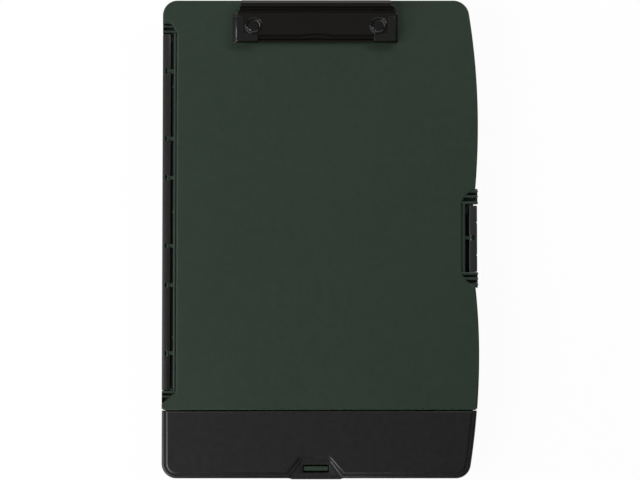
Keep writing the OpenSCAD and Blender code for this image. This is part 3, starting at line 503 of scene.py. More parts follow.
def scoopShape(name):
    # points from the rim to the recess, in from the rim and away from the recess: one end of the
    # hinge recess is a bevelled box, the others are powers of a cosine and a sine
    if name == "highLeft":
        return roundCorners(cover["boxScoop"], (0, cover["boxScoopR"], 0), 8)
    width, length, power = cover["scoops"][name]
    a = np.radians(np.linspace(90, 0, 14))
    return np.column_stack([width * np.cos(a) ** power, length * np.abs(np.sin(a)) ** power])


def scoopPlace(name):
    # a scoop's rim and recess end, with the signs for in from the rim and away from the recess
    left, high = name.endswith("Left"), name.startswith("high")
    end = ("hinge" if left else "latch") + ("To" if high else "From")
    return case["left" if left else "rim"], case[end], 1 if left else -1, 1 if high else -1


def scoopPoints(name, points):
    rimX, recessY, side, way = scoopPlace(name)
    return np.column_stack([rimX + side * points[:, 0], recessY + way * points[:, 1]])


def coverPath(notch):
    # the board's plan anticlockwise from its lower left corner, with the kind of each edge
    c, k = cover, case
    low = k["coverEnd"]
    up = low + (c["notchDeep"] if notch else 0.0)
    side = 0.0 if notch else 0.01      # without its notches the front line only carries their corners
    x0, x1 = k["left"] + c["notchIn"], float(sideX(up)) - c["notchIn"]
    front = [(k["left"], up), (x0, up), (x0 + side, low), (x1 - side, low), (x1, up)]
    ends = {name: scoopPoints(name, scoopShape(name)) for name in c["fins"]}
    lower, upper = ends["lowRight"], ends["highRight"][::-1]
    lower = lower[lower[:, 0] < sideX(lower[:, 1]) - 0.1]
    upper = upper[upper[:, 0] < sideX(upper[:, 1]) - 0.1]
    r, rightR = k["cornerR"], k["highRightR"]
    centre, turn = cornerCentre(k["bulgeHigh"], k["top"] - rightR, rightR)
    stretches = [
        (front, "seam"),
        (bulgeSide(up, lower[0, 1] - 0.35, 40), "outer"), (lower, "step"),
        (upper, "step"), (bulgeSide(upper[-1, 1] + 0.35, k["top"] - rightR, 48)[:-1], "outer"),
        (arcPoints(centre, rightR, turn, 90, k["arcSteps"]), "outer"),
        (arcPoints((k["left"] + r, k["top"] - r), r, 90, 180, k["arcSteps"]), "outer"),
        (ends["highLeft"], "step"), (ends["lowLeft"][::-1][:-1], "step"), (ends["lowLeft"][:1], "outer")]
    kinds = sum(([kind] * len(points) for points, kind in stretches), [])
    return np.concatenate([points for points, kind in stretches]), kinds


def finSolids(name, floorTo):
    # a scoop's floor, its rounded ribs and, at the hinge, a low outer wall
    c, foot, spare = cover, case["skirtFoot"], cover["floorSpare"]
    rimX, recessY, side, way = scoopPlace(name)
    curve = scoopShape(name)
    width, length = curve[-1, 0], curve[0, 1]
    wide = curve * [1 + spare / width, 1 + spare / length]
    plan = scoopPoints(name, np.concatenate([[(0.0, -0.2)], wide, [(width + spare, -0.2)]]))
    out = [blockSolid(plan[::-side * way], foot, floorTo, 0.15, 0.15, 3)]
    for v0, v1 in c["fins"][name]:
        reach = float(np.interp(max(v0, 0.0), curve[::-1, 1], curve[::-1, 0])) + 1.0
        x0, x1 = sorted((rimX + side * 0.02, rimX + side * reach))
        y0, y1 = sorted((recessY + way * v0, recessY + way * v1))
        r = min(c["finR"], (v1 - v0) / 2 - 0.2)
        rib = rectangleLoop(x0, y0, x1, y1, r + 0.17)
        out.append(blockSolid(rib, foot + 0.3, case["face"] - c["finDrop"], r, 0.1, 6))
    if side > 0:
        y0, y1 = sorted((recessY - way * 0.35, recessY + way * (length - 0.2)))
        wall = rectangleLoop(rimX + 0.03, y0, rimX + 0.53, y1, 0.24)
        out.append(blockSolid(wall, foot + 0.1, c["lowWallTop"], 0.08, 0.08))
    return out


def recessWall(x, side, y0, y1):
    # the wall of a recess with its rounded rim and the groove behind it, carried along Y
    foot = case["skirtFoot"]
    bead = case["face"] - cover["beadDrop"][side > 0]
    groove = case["face"] - cover["grooveDrop"][side > 0]
    p = np.array([
        (0, foot), (2.9, foot), (2.9, groove), (2.2, groove), (2.0, groove + 0.15), (1.9, bead - 0.3),
        (1.75, bead - 0.08), (1.5, bead), (0.6, bead), (0.3, bead - 0.08), (0.08, bead - 0.3),
        (0, bead - 0.6)])
    loop = np.column_stack([x + side * p[:, 0], p[:, 1]])[::side]
    return turned(ringSolid([liftLoop(loop, y0), liftLoop(loop, y1)]), alongY)


def armSolid(x, pinX, y, z):
    # an eye round a pin joined to an arm that reaches x, with its bore open, carried along Y
    c = cover
    toward = 1 if x > pinX else -1
    a = math.degrees(math.asin(c["armThick"] / c["eyeR"]))
    ring = arcPoints((0, 0), c["eyeR"], a, 360 - a, 28)
    tail = [(abs(x - pinX), -c["armThick"]), (abs(x - pinX), c["armThick"])]
    loop = (np.concatenate([ring, tail]) * [toward, 1])[::toward] + [pinX, z]
    hole = arcPoints((pinX, z), c["eyeBore"], 0, 360, 25)[:-1]
    y0, y1, e, soft = y - c["armHalf"], y + c["armHalf"], c["armEdge"], 0.06
    steps = [(e, y0), (soft, y0 + soft), (0, y0 + e), (0, y1 - e), (soft, y1 - soft), (e, y1)]
    return boredSolid(loop, hole, steps, alongY)


def coverBoard():
    # the plate and its skirt as one closed skin, hollow below
    c, k = cover, case
    path, kinds = coverPath(True)
    inside = coverPath(False)[0]
    top, foot = k["face"], k["skirtFoot"]
    front = quarter(top, c["seamR"])
    under = between(zip(c["seamLevels"], (c["seamUnder"], 0.0)))
    profiles = {"outer": quarter(top, c["edgeR"]), "seam": lambda z: front(z) + under(z),
                "step": between([(top - drop, inset) for drop, inset in c["bevel"]])}
    levels = [foot, c["seamLevels"][0]] + edgeLevels(top, c["stepHigh"])
    rings = [liftLoop(insetLoop(inside, d), z) for d, z in underSteps(c["plateUnder"], 1.2, 0.35, 0.6)]
    rings += levelRings(path, kinds, levels, profiles)
    last = np.array([profiles[q](top) for q in kinds]) + c["topRing"]
    return ringSolid(rings + [liftLoop(insetLoop(path, last), top)])


def buildCover():
    c, k = cover, case
    foot, past = k["skirtFoot"], c["wallPast"]
    xHinge, xLatch = k["left"] + c["wallLeft"], k["rim"] - c["wallRight"]
    parts = [coverBoard(),
             recessWall(xHinge, 1, k["hingeFrom"] - past, k["hingeTo"] + past),
             recessWall(xLatch, -1, k["latchFrom"] - past, k["latchTo"] + past)]
    for name in c["fins"]:
        parts += finSolids(name, foot + c["floorWall"])
    # a lip low on the hinge recess's wall closes the view down the channel
    lip = rectangleLoop(xHinge - c["lipOut"], k["hingeFrom"] - 0.4, xHinge + 0.7, k["hingeTo"] + 0.4, 0.3)
    parts.append(blockSolid(lip, foot + 0.1, c["lipTop"], 0.1, 0.1))
    for y in k["coverArms"]:
        parts.append(armSolid(xHinge + past, k["pinX"], y, k["pinHigh"]))
    parts.append(armSolid(xLatch - past, k["latchPinX"], k["latchArm"], k["pinHigh"]))
    for y in c["stops"]:               # pointed stops on the recess wall
        out = c["stopOut"]
        stop = [(xHinge - out, y), (xHinge + past, y - out), (xHinge + past, y + out)]
        stop = roundCorners(stop, (0.5, 0.2, 0.2))
        parts.append(blockSolid(stop, foot + 1, k["face"] - c["stopDrop"], 0.3))
    obj = makePiece("coverBoard", parts, "cover", "greenPlastic")
    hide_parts("main_cover")


buildCover()
print("cover built")


# base tray
tray = {
    "edge": 0.25,
    "hingeLedge": {"from": -123.1, "to": -117.2, "top": 0.85, "cornerR": 0.4, "edgeR": 0.2},
    "latchLedge": {"from": 116.6, "to": 127.7, "top": 1.4, "cornerR": 0.5, "edgeR": 0.3},
    "ledgePast": 1.5, "ledgeFoot": 0.05,
    "cheekIn": 0.5, "cheekTo": -117.4, "cheekPast": 1.4, "cheekUnder": 0.4,
    "cheekFoot": 0.6, "cheekTop": 15.8,
}


def buildTrayShell():
    # the CAD solid with its loose triangles merged into flat faces and its edges softened
    bm = bmesh.new()
    bm.from_mesh(nodes["base_tray"].data)
    bmesh.ops.remove_doubles(bm, verts=bm.verts, dist=2e-6)
    bmesh.ops.dissolve_degenerate(bm, edges=bm.edges, dist=1e-6)
    bmesh.ops.dissolve_limit(bm, angle_limit=math.radians(0.6), verts=bm.verts, edges=bm.edges)
    mesh = bpy.data.meshes.new("trayShell")
    bm.to_mesh(mesh)
    bm.free()
    smoothMesh(mesh, sharpAngle)
    obj = addObject("trayShell", mesh)
    mod = obj.modifiers.new("edges", "BEVEL")
    mod.width, mod.segments, mod.limit_method = tray["edge"] * mm, 2, "ANGLE"
    mod.angle_limit, mod.harden_normals = math.radians(sharpAngle), True
    mod.miter_outer = "MITER_ARC"
    mesh.materials.clear()
    mesh.materials.append(materials["greenPlastic"])
    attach(obj, "tray")
    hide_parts("base_tray")


def buildTrayLedges():
    # floor strips under the hinge and latch channels, and a cheek at each end of the hinge bar
    t, k = tray, case
    parts = []
    for name in ("hinge", "latch"):
        ledge = t[name + "Ledge"]
        y0, y1 = k[name + "From"] - t["ledgePast"], k[name + "To"] + t["ledgePast"]
        loop = rectangleLoop(ledge["from"], y0, ledge["to"], y1, ledge["cornerR"])
        parts.append(blockSolid(loop, t["ledgeFoot"], ledge["top"], ledge["edgeR"]))
    for y, way in ((k["hingeFrom"], -1), (k["hingeTo"], 1)):
        y0, y1 = sorted((y + way * t["cheekPast"], y - way * t["cheekUnder"]))
        loop = rectangleLoop(k["left"] + t["cheekIn"], y0, t["cheekTo"], y1, 0.5)
        parts.append(blockSolid(loop, t["cheekFoot"], t["cheekTop"]))
    makePiece("trayLedges", parts, "tray", "greenPlastic")


buildTrayShell()
buildTrayLedges()
print("tray dressed")


# hinge bar
bar = {
    "from": -124.5, "to": 169.3, "width": 6.7, "foot": 1.0, "top": 24.0,
    "crownOut": (1.9, 0.35), "crownIn": (2.6, 1.0), "radii": (1.5, 0.6, 0.9, 5.0, 4.0, 0.5),
    "endR": 0.7, "endFlat": 0.85,
    "trayArms": (-107.6, -65.6, -21.6, 22.4, 66.4, 110.4, 152.4),
    "gapHalf": 1.85, "lowGapTop": 5.6,
    "pockets": 10, "pocketEnd": 3.0, "pocketRib": 2.0, "pocketWall": 2.0,
    "pocketFoot": 6.6, "pocketTop": 18.4,
}


def buildBar():
    # a crowned section carried along Y, with gaps for the arms' eyes and moulding pockets inside
    b, k = bar, case
    x0, x1, foot, top = k["left"], k["left"] + b["width"], b["foot"], b["top"]
    outer, inner = b["crownOut"], b["crownIn"]
    loop = [(x0, foot), (x1, foot), (x1, top - inner[1]), (x1 - inner[0], top), (x0 + outer[0], top),
            (x0, top - outer[1])]
    solid = railSolid(roundCorners(loop, b["radii"], 7), b["from"], b["to"], b["endR"], b["endFlat"])
    past = x1 + cutPast
    gaps = [(y, b["gapHalf"], k["pinHigh"] - k["eyeDrop"], top + cutPast) for y in k["coverArms"]]
    gaps += [(y, b["gapHalf"], foot - cutPast, b["lowGapTop"]) for y in b["trayArms"]]
    cuts = [gapCut(k["pinX"] - k["eyeRoom"], past, *gap) for gap in gaps]
    pitch = (b["to"] - b["from"] - 2 * b["pocketEnd"]) / b["pockets"]
    for i in range(b["pockets"]):
        y0 = b["from"] + b["pocketEnd"] + b["pocketRib"] / 2 + i * pitch
        y1 = y0 + pitch - b["pocketRib"]
        cuts.append(pocketCut(x0 + b["pocketWall"], past, y0, y1, b["pocketFoot"], b["pocketTop"]))
    obj = makePiece("hingeBar", [solid], "bar", "blackPlasticPaintedLighter", cuts=cuts)
    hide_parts("hinge_bar")


buildBar()
print("hinge bar built")


# side latch
latch = {
    "from": -27.15, "to": 27.4, "outer": 129.0, "inner": 122.5, "foot": 2.0, "top": 24.0,
    "bellyIn": 2.6, "bellyLow": 3.0, "bellyHigh": 6.0,
    "radii": (0.4, 1.4, 1.2, 0.5, 0.6, 0.6), "endR": 0.8, "endFlat": 0.9,
    "noseOut": 1.1, "noseBack": 3.2, "noseEnd": 7.0, "noseLow": 0.2, "noseHigh": 2.6,
    "gapHalf": 2.0,
    "nicks": (13.5, -13.4), "nickDeep": 0.9, "nickPast": 1.0, "nickHalf": 1.6,
    "pocketAt": 14.4, "pocketHalf": 9.4, "pocketLow": 8.0, "pocketTop": 18.4, "pocketWall": 2.0,
}


def buildLatch():
    # a section carried along Y with nicks in its outer face, and a nose that snaps under the tray
    s, k, middle = latch, case, case["latchArm"]
    x0, x1, z0, z1 = s["inner"], s["outer"], s["foot"], s["top"]
    belly = x0 + s["bellyIn"]
    loop = [(belly, z0), (x1, z0), (x1, z1), (x0, z1), (x0, z0 + s["bellyHigh"]), (belly, z0 + s["bellyLow"])]
    solid = railSolid(roundCorners(loop, s["radii"]), s["from"], s["to"], s["endR"], s["endFlat"])
    low, past = k["pinHigh"] - k["eyeDrop"], k["latchPinX"] + k["eyeRoom"]
    cuts = [gapCut(x0 - cutPast, past, middle, s["gapHalf"], low, z1 + cutPast)]
    for y in s["nicks"]:
        tip, out, half = x1 - s["nickDeep"], x1 + s["nickPast"], s["nickHalf"]
        nick = roundCorners([(tip, y), (out, y - half), (out, y + half)], (0.25, 0.1, 0.1))
        cuts.append(blockSolid(nick, z0 - cutPast, z1 + cutPast, 0.1))
    for way in (-1, 1):
        y0, y1 = (middle + way * s["pocketAt"] + end * s["pocketHalf"] for end in (-1, 1))
        low, wall = z0 + s["pocketLow"], x1 - s["pocketWall"]
        cuts.append(pocketCut(x0 - cutPast, wall, y0, y1, low, s["pocketTop"]))
    obj = makePiece("sideLatch", [solid], "latch", "blackPlasticPaintedLighter", cuts=cuts)
    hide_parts("side_latch")
    y0, y1 = s["from"] + s["noseEnd"], s["to"] - s["noseEnd"]
    loop = rectangleLoop(x0 - s["noseOut"], y0, x0 + s["noseBack"], y1, 0.5)
    nose = blockSolid(loop, z0 + s["noseLow"], z0 + s["noseHigh"], 0.5, 0.5)
    makePiece("latchNose", [nose], "latch", "blackPlasticPaintedLighter")


buildLatch()
print("latch built")


# pen lid
lid = {
    "border": 24.1, "plateUnder": 22.6, "edgeR": 2.3, "borderRearR": 0.9, "rearR": 1.7,
    "borderRing": {"outer": 2.6, "notch": 1.7, "rear": 1.2},
    "tabEdge": ((22.9, 0), (23.3, 0.05), (23.4, 0.2), (24.0, 1.05), (24.06, 1.2), (24.1, 1.45)),
    "riseIn": 3.7, "riseRing": 2.1,
    "riseEdge": ((23.2, 0), (24.0, 0.02), (24.12, 0.15), (24.85, 1.2), (24.95, 1.42), (24.99, 1.6),
                 (25.0, 1.8)),
    "riseLevels": (23.2, 23.3, 23.6, 24.0, 24.12, 24.3, 24.5, 24.7, 24.85, 24.95, 24.99, 25.0),
    "tabFace": 23.3, "tabUnder": 21.2, "tabGrow": 0.5, "tabR": 2.4, "tabFront": 1.8,
    # rear edge, half width there, and slope of the sides
    "tabInner": (-182.5, 11.2, 0.76), "tabOuter": (-180.2, 11.7, 0.88),
    "softFoot": -1.0, "softSide": -3.0, "softRear": 0.8,
    "lipProud": 0.8, "lipHalf": 20.0, "lipSlant": 3.0, "lipIn": 1.0, "lipDrop": 0.5,
    "slotHalf": 10.6, "slotFrom": -191.7, "slotTo": -185.2, "slotR": 0.35,
    "rodY": -144.45, "rodZ": 21.7, "rodBore": 1.07, "knuckleR": 2.2, "knuckleEdge": 0.2,
    "knuckleEnds": (1.4, 1.6), "rootBevel": 0.25, "rootReach": 1.7,
    "posts": (-121.3, -62.0, -2.7, 56.6, 115.9), "postHalf": 2.85, "roomLow": 19.6, "roomHigh": 23.2,
}
tabSteps = 7                           # points on each rounded rear corner of the tab


def tabLoop(edge, low, radii, grow=0.0):
    # a trapezoid anticlockwise from its lower left corner, which widens towards the front
    rear, half, slope = edge
    rear, half = rear + grow, half + grow
    x, wide = case["clipX"], half + slope * (rear - low)
    points = [(x - wide, low), (x + wide, low), (x + half, rear), (x - half, rear)]
    return roundCorners(points, radii, tabSteps)


def lidPath(inset, edge):
    # the lid's plan anticlockwise from its rear left corner, moved in by inset, with the tab's notch
    # in its front, and the kind of each edge
    k, bulge, r, rear = case, case["bulgeLow"], case["cornerR"], case["lidRear"]
    low, n = k["bottom"] + inset, k["arcSteps"]
    notch = tabLoop(edge, low, (0, 0, lid["tabR"], lid["tabR"]))
    notch = np.concatenate([notch[:1], notch[2:][::-1], notch[1:2]])
    centre, turn = cornerCentre(bulge, k["bottom"] + r, r)
    y = np.linspace(k["bottom"] + r, rear, 14)[1:]
    parts = [
        [(k["left"] + inset, rear)], arcPoints((k["left"] + r, k["bottom"] + r), r - inset, 180, 270, n),
        notch, arcPoints(centre, r - inset, -90, turn, n), np.column_stack([beside(bulge, y, inset), y])]
    kinds = ["outer"] * (1 + n) + ["notch"] * (len(notch) - 1) + ["outer"] * (n + len(y)) + ["rear"]
    return np.concatenate(parts), kinds


def lidBorder():
    # the skirt and the low border, hollow below
    p = lid
    path, kinds = lidPath(0.0, p["tabInner"])
    profiles = {"outer": quarter(p["border"], p["edgeR"]), "notch": between(p["tabEdge"]),
                "rear": quarter(p["border"], p["borderRearR"])}
    flat = np.array([0.0 if q == "rear" else 1.0 for q in kinds])      # the rear has no skirt
    steps = underSteps(p["plateUnder"], 1.0, 0.3, 0.5)
    rings = [liftLoop(insetLoop(path, d * flat + 0.02 * (1 - flat)), z) for d, z in steps]
    rings += levelRings(path, kinds, [case["skirtFoot"]] + edgeLevels(p["border"], p["edgeR"]), profiles)
    last = np.array([p["borderRing"][q] for q in kinds])
    return ringSolid(rings + [liftLoop(insetLoop(path, last), p["border"])])


def lidMiddle():
    # the raised middle; beside the tab its left corner and rear edge move away with the height
    p, top, n = lid, case["face"], tabSteps
    path, kinds = lidPath(p["riseIn"], p["tabOuter"])
    rise = between(p["riseEdge"])
    profiles = {"outer": rise, "notch": rise, "rear": quarter(top, p["rearR"])}
    rings = levelRings(path, kinds, p["riseLevels"], profiles)
    rings.append(liftLoop(insetLoop(path, p["riseRing"]), top))
    first = kinds.index("notch")
    drift = np.zeros((len(path), 3))
    drift[first, 0] = p["softFoot"]
    drift[first + 1:first + 1 + n, 0] = np.linspace(p["softSide"], p["softSide"] / 3, n)
    share = np.interp(np.arange(2 * n), [0, n - 1, n, 2 * n - 1], [0.3, 1.0, 1.0, 0.0])
    drift[first + 1:first + 1 + 2 * n, 1] = share * p["softRear"]
    return ringSolid([ring + drift * rise(ring[0, 2]) / rise(top) for ring in rings])


def lidTab():
    # the thumb tab: a lower plate with a slot, a skirt in front and a proud lip
    p, x, low, foot = lid, case["clipX"], case["bottom"], case["skirtFoot"]
    under, face = p["tabUnder"], p["tabFace"]
    plan = tabLoop(p["tabInner"], low + 0.1, (0, 0, p["tabR"], p["tabR"]), p["tabGrow"])
    hole = rectangleLoop(x - p["slotHalf"], p["slotFrom"], x + p["slotHalf"], p["slotTo"], p["slotR"])
    cut = [(0.0, under), (0.0, face - p["slotR"]), (-0.1, face - 0.1), (-p["slotR"], face)]
    plate = joined([
        ringSolid([liftLoop(plan, under), liftLoop(plan, face)], False), carriedLoop(hole, cut, False),
        sheetWithHoles([plan, hole], under), sheetWithHoles([plan, insetLoop(hole, -p["slotR"])], face)])
    rear, half, slope = p["tabInner"]
    wide = half + slope * (rear - low) + 0.4
    front = rectangleLoop(x - wide, low, x + wide, low + p["tabFront"], 0.3)
    half, wide = p["lipHalf"], p["lipHalf"] + p["lipSlant"]
    rear, edge = low + p["lipIn"], low - p["lipProud"]
    lip = [(x - wide, rear), (x - half, edge), (x + half, edge), (x + wide, rear)]
    lip = blockSolid(roundCorners(lip, (0.3, 1.5, 1.5, 0.3)), foot, face - p["lipDrop"], 1.1, 0.3, 6)
    return [plate, blockSolid(front, foot, face + 0.01, 0.8), lip]


def lidKnuckles():
    # knuckles round the rod between the tray's eyes, each carried along X with its bore open
    p, rod, rear = lid, (lid["rodY"], lid["rodZ"]), case["lidRear"]
    bevel, top = p["rootBevel"], p["tabFace"]
    root = [(rear - bevel, rod[1] - bevel), (rear, rod[1]), (rear, top), (rod[0] - p["rootReach"], top)]
    hull = np.concatenate([arcPoints(rod, p["knuckleR"], 140, 352, 24), root])
    hole = arcPoints(rod, p["rodBore"], 0, 360, 21)[:-1]
    ends = [case["left"] + p["knuckleEnds"][0]]
    ends += [c + s * p["postHalf"] for c in p["posts"] for s in (-1, 1)]
    ends.append(float(sideX(rod[0])) - p["knuckleEnds"][1])
    return [boredSolid(hull, hole, bevelledSteps(x0, x1, p["knuckleEdge"]), alongX)
            for x0, x1 in zip(ends[::2], ends[1::2])]


def eyeRooms():
    # the room that each of the tray's eyes needs in the lid's plate
    p, y, past = lid, lid["rodY"], case["lidRear"] + cutPast
    low, high = p["roomLow"], p["roomHigh"]
    room = np.concatenate([arcPoints((y, p["rodZ"]), p["knuckleR"], 95, 200, 12),
                           [(y - 2.0, low), (past, low), (past, high), (y + 1.2, high)]])[::-1]
    reach = p["postHalf"] + 0.01
    spans = [(c - reach, c + reach) for c in p["posts"]]
    return [turned(ringSolid([liftLoop(room, x) for x in span]), alongX) for span in spans]


def buildLid():
    parts = [lidBorder(), lidMiddle()] + lidTab() + lidKnuckles()
    obj = makePiece("penLid", parts, "lid", "blackPlastic", cuts=eyeRooms())
    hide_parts("pen_lid")


buildLid()
print("pen lid built")


# clip: x is measured from its middle
clip = {
    "axleY": 192.4, "axleZ": 29.7, "rollR": 3.7, "rollFrom": -25, "rollTo": 118,
    "sheet": 1.0, "sheetEdge": 0.22, "panelZ": 30.4, "panelRear": 187.4, "panelFront": 169.8,
    "rollHalf": 61.3, "panelHalf": 64.3, "lipHalf": 47.7, "flareFrom": 194.2, "flareTo": 185.4,
    "tip": 161.9, "lipFrom": 7.0, "panelSpare": 3.4,
    # the lip's arch: its half width, how far it goes back and forward, and the share ahead of the tip
    "archHalf": 14.0, "archBack": 1.5, "archFront": 0.3,
    "backShare": ((2.3, 2.9, 4.5, 9.5), (0, 0.5, 1, 0)), "frontShare": ((0, 2.2), (1, 0)),
    # from the roll down into a shallow valley and up on the panel: y from its rear edge, z from its level
    "fall": ((2.5, 2.25), (1.8, 1.85), (1.25, 1.3), (0.8, 0.6), (0.4, 0.05), (-0.1, -0.24), (-0.75, -0.26),
             (-1.4, -0.1), (-2.1, 0.0), (-2.8, 0.02)),
    # two rounded steps and a foot that ends flat on the paper: y from the tip, z from the panel's level
    "bend": ((7.3, 0), (6.5, -0.06), (5.8, -0.28), (5.25, -0.7), (4.85, -1.2), (4.45, -1.55), (3.9, -1.68),
             (3.35, -1.78), (2.95, -2.1), (2.7, -2.7), (2.55, -3.4), (2.35, -3.95), (1.95, -4.3),
             (1.4, -4.42), (0.7, -4.45), (0, -4.45)),
    "plateFront": 173.0, "plateHalf": 44.0,
    "earX": 59.8, "earWall": 1.0, "earR": 2.6, "earEdge": 0.15, "earRear": 1.0,
    "axleR": 1.25, "axleSpare": 0.03, "axleHead": 0.35,
}
grip = {
    "from": 162.7, "to": 183.2, "outer": 65.4, "legInner": 59.6, "legFrom": 168.2,      # the L-shaped rim
    "rimR": (0.8, 0.9, 1.2, 1.0, 1.4, 0.8), "rimUnder": 1.0, "rimProud": 0.2,
    "flareLeft": 2.6, "flareRight": 1.3,
    # rounded rectangles one above another: inner side (the corner's from the lip's end), front, outer side,
    # rear, 1 where it flares, level over the foot or, when negative, from the sheet's top, and radius
    "corner": ((0.5, 162.3, 65.6, 183.0, 1, 0.0, 0.6), (0.1, 161.9, 66.1, 183.3, 1, 0.25, 0.9),
               (0.0, 161.8, 66.2, 183.4, 1, 0.8, 1.0), (0.0, 162.1, 66.5, 183.4, 0, 1.5, 1.0),
               (0.0, 162.2, 66.0, 183.4, 0, -1.2, 1.0), (0.0, 162.5, 65.5, 183.4, 0, -0.55, 1.0),
               (0.3, 163.0, 64.9, 183.1, 0, -0.25, 0.8)),
    "flange": ((63.2, 182.4, 65.8, 186.3, 1, 0.2, 0.8), (63.0, 182.4, 66.0, 186.6, 1, 0.8, 1.0),
               (63.0, 182.4, 66.4, 185.8, 0, 1.5, 1.0), (63.0, 182.4, 66.0, 185.4, 0, -1.2, 0.9),
               (63.3, 182.4, 65.3, 184.7, 0, -0.9, 0.7)),
    # the ridge's section: x from the clip's middle, and height over the sheet
    "ridge": ((64.6, -0.6), (65.9, -0.6), (65.9, -0.25), (65.15, 0.24), (64.6, 0.24)),
    "ridgeR": (0, 0.1, 0.15, 0.15, 0), "ridgeFrom": 165.6, "ridgeTo": 181.6,
    "armMiddle": (61.7, 188.2), "armOuter": 4.6, "armInner": 2.7, "armFrom": 184.5,
    "buttonX": 51.3, "buttonY": 175.2,
    "button": ((0, -1.4), (5.3, -1.4), (5.5, 0.02), (6.95, 0.05), (7.1, 0.2), (7.08, 0.6), (6.85, 0.88),
               (6.4, 1.05), (5.8, 1.08), (5.15, 0.95), (4.85, 0.7), (4.55, 0.55), (4.3, 0.55), (4.1, 0.66),
               (3.85, 0.72), (0.9, 0.72), (0, 0.72)),         # radius, and height over the sheet
}
spring = {
    "r": 2.2, "wire": 0.7, "turns": 6.5, "perTurn": 30, "from": 17.0, "pitch": 1.75, "legZ": 1.72,
    # the leg forward on the plate: y from the axle, z from the leg's level
    "leg": ((-17, 0), (-12, 0), (-8, 0), (-5, 0.05), (-3.2, 0.25), (-1.8, 0.6)),
    "tail": (-1.0, -1.6),
}


def leverLine():
    # the bent sheet's section as y and z: an arc, the valley behind the panel, the panel and the lip
    c = clip
    roll = arcPoints((c["axleY"], c["axleZ"]), c["rollR"], c["rollFrom"], c["rollTo"], 38)
    fall = np.array(c["fall"]) + [c["panelRear"], c["panelZ"]]
    flat = np.linspace(c["panelRear"] - c["panelSpare"], c["panelFront"], 11)
    panel = np.column_stack([flat, np.full(len(flat), c["panelZ"])])
    return np.concatenate([roll, fall, panel, np.array(c["bend"]) + [c["tip"], c["panelZ"]]])


def buildLever():
    # the sheet's middle surface: a grid of places along the section and across the clip, thickened after
    c = clip
    line = leverLine()
    y, ahead = line[:, 0], line[:, 0] - c["tip"]
    # half width along the section: from behind the roll's top it widens in an S to the panel
    past = np.arange(len(line)) >= np.argmax(line[:, 1]) - 10
    t = past * np.clip((c["flareFrom"] - y) / (c["flareFrom"] - c["flareTo"]), 0, 1)
    half = c["rollHalf"] + (c["panelHalf"] - c["rollHalf"]) * t * t * (3 - 2 * t)
    half = np.where(ahead < c["lipFrom"], c["lipHalf"], half)
    x = half[:, None] * np.linspace(-1, 1, 161)[None]
    m, n = x.shape
    # a shallow arch at the middle of the lip: its bend goes back and its edge comes forward
    arch = np.where(np.abs(x) < c["archHalf"], np.cos(np.pi / 2 * x / c["archHalf"]) ** 1.2, 0.0)
    back = np.interp(ahead, *c["backShare"])[:, None]
    edge = np.interp(ahead, *c["frontShare"])[:, None]
    y = np.repeat(line[:, :1], n, 1) + arch * (c["archBack"] * back - c["archFront"] * edge)
    v = np.stack([x + case["clipX"], y, np.repeat(line[:, 1:], n, 1)], -1).reshape(-1, 3)
    i = (np.arange(m - 1)[:, None] * n + np.arange(n - 1)[None]).reshape(-1)
    f = np.stack([i, i + 1, i + n + 1, i + n], -1).tolist()

    def thicken(obj):
        mod = obj.modifiers.new("sheet", "SOLIDIFY")
        mod.thickness, mod.offset, mod.use_even_offset = c["sheet"] * mm, 0, True
        soft = obj.modifiers.new("edges", "BEVEL")
        soft.width, soft.segments, soft.limit_method = c["sheetEdge"] * mm, 2, "ANGLE"
        soft.angle_limit = math.radians(50)

    obj = makePiece("clipLever", [(v, f)], "clip", "clipLacquer", 50, change=thicken)
    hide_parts("clip_lever")


def buildCheeks():
    # round discs that close the roll beside the ears
    c = clip
    loop = arcPoints((c["axleY"], c["axleZ"]), c["rollR"] - 0.3, 0, 360, 41)[:-1]
    cheeks = []
    for s in (-1, 1):
        x0, x1 = sorted(case["clipX"] + s * (c["earX"] - d) for d in (0.2, 1.2))
        cheeks.append(turned(blockSolid(loop, x0, x1, 0.15, 0.15), alongX))
    makePiece("rollCheeks", cheeks, "clip", "clipLacquer")


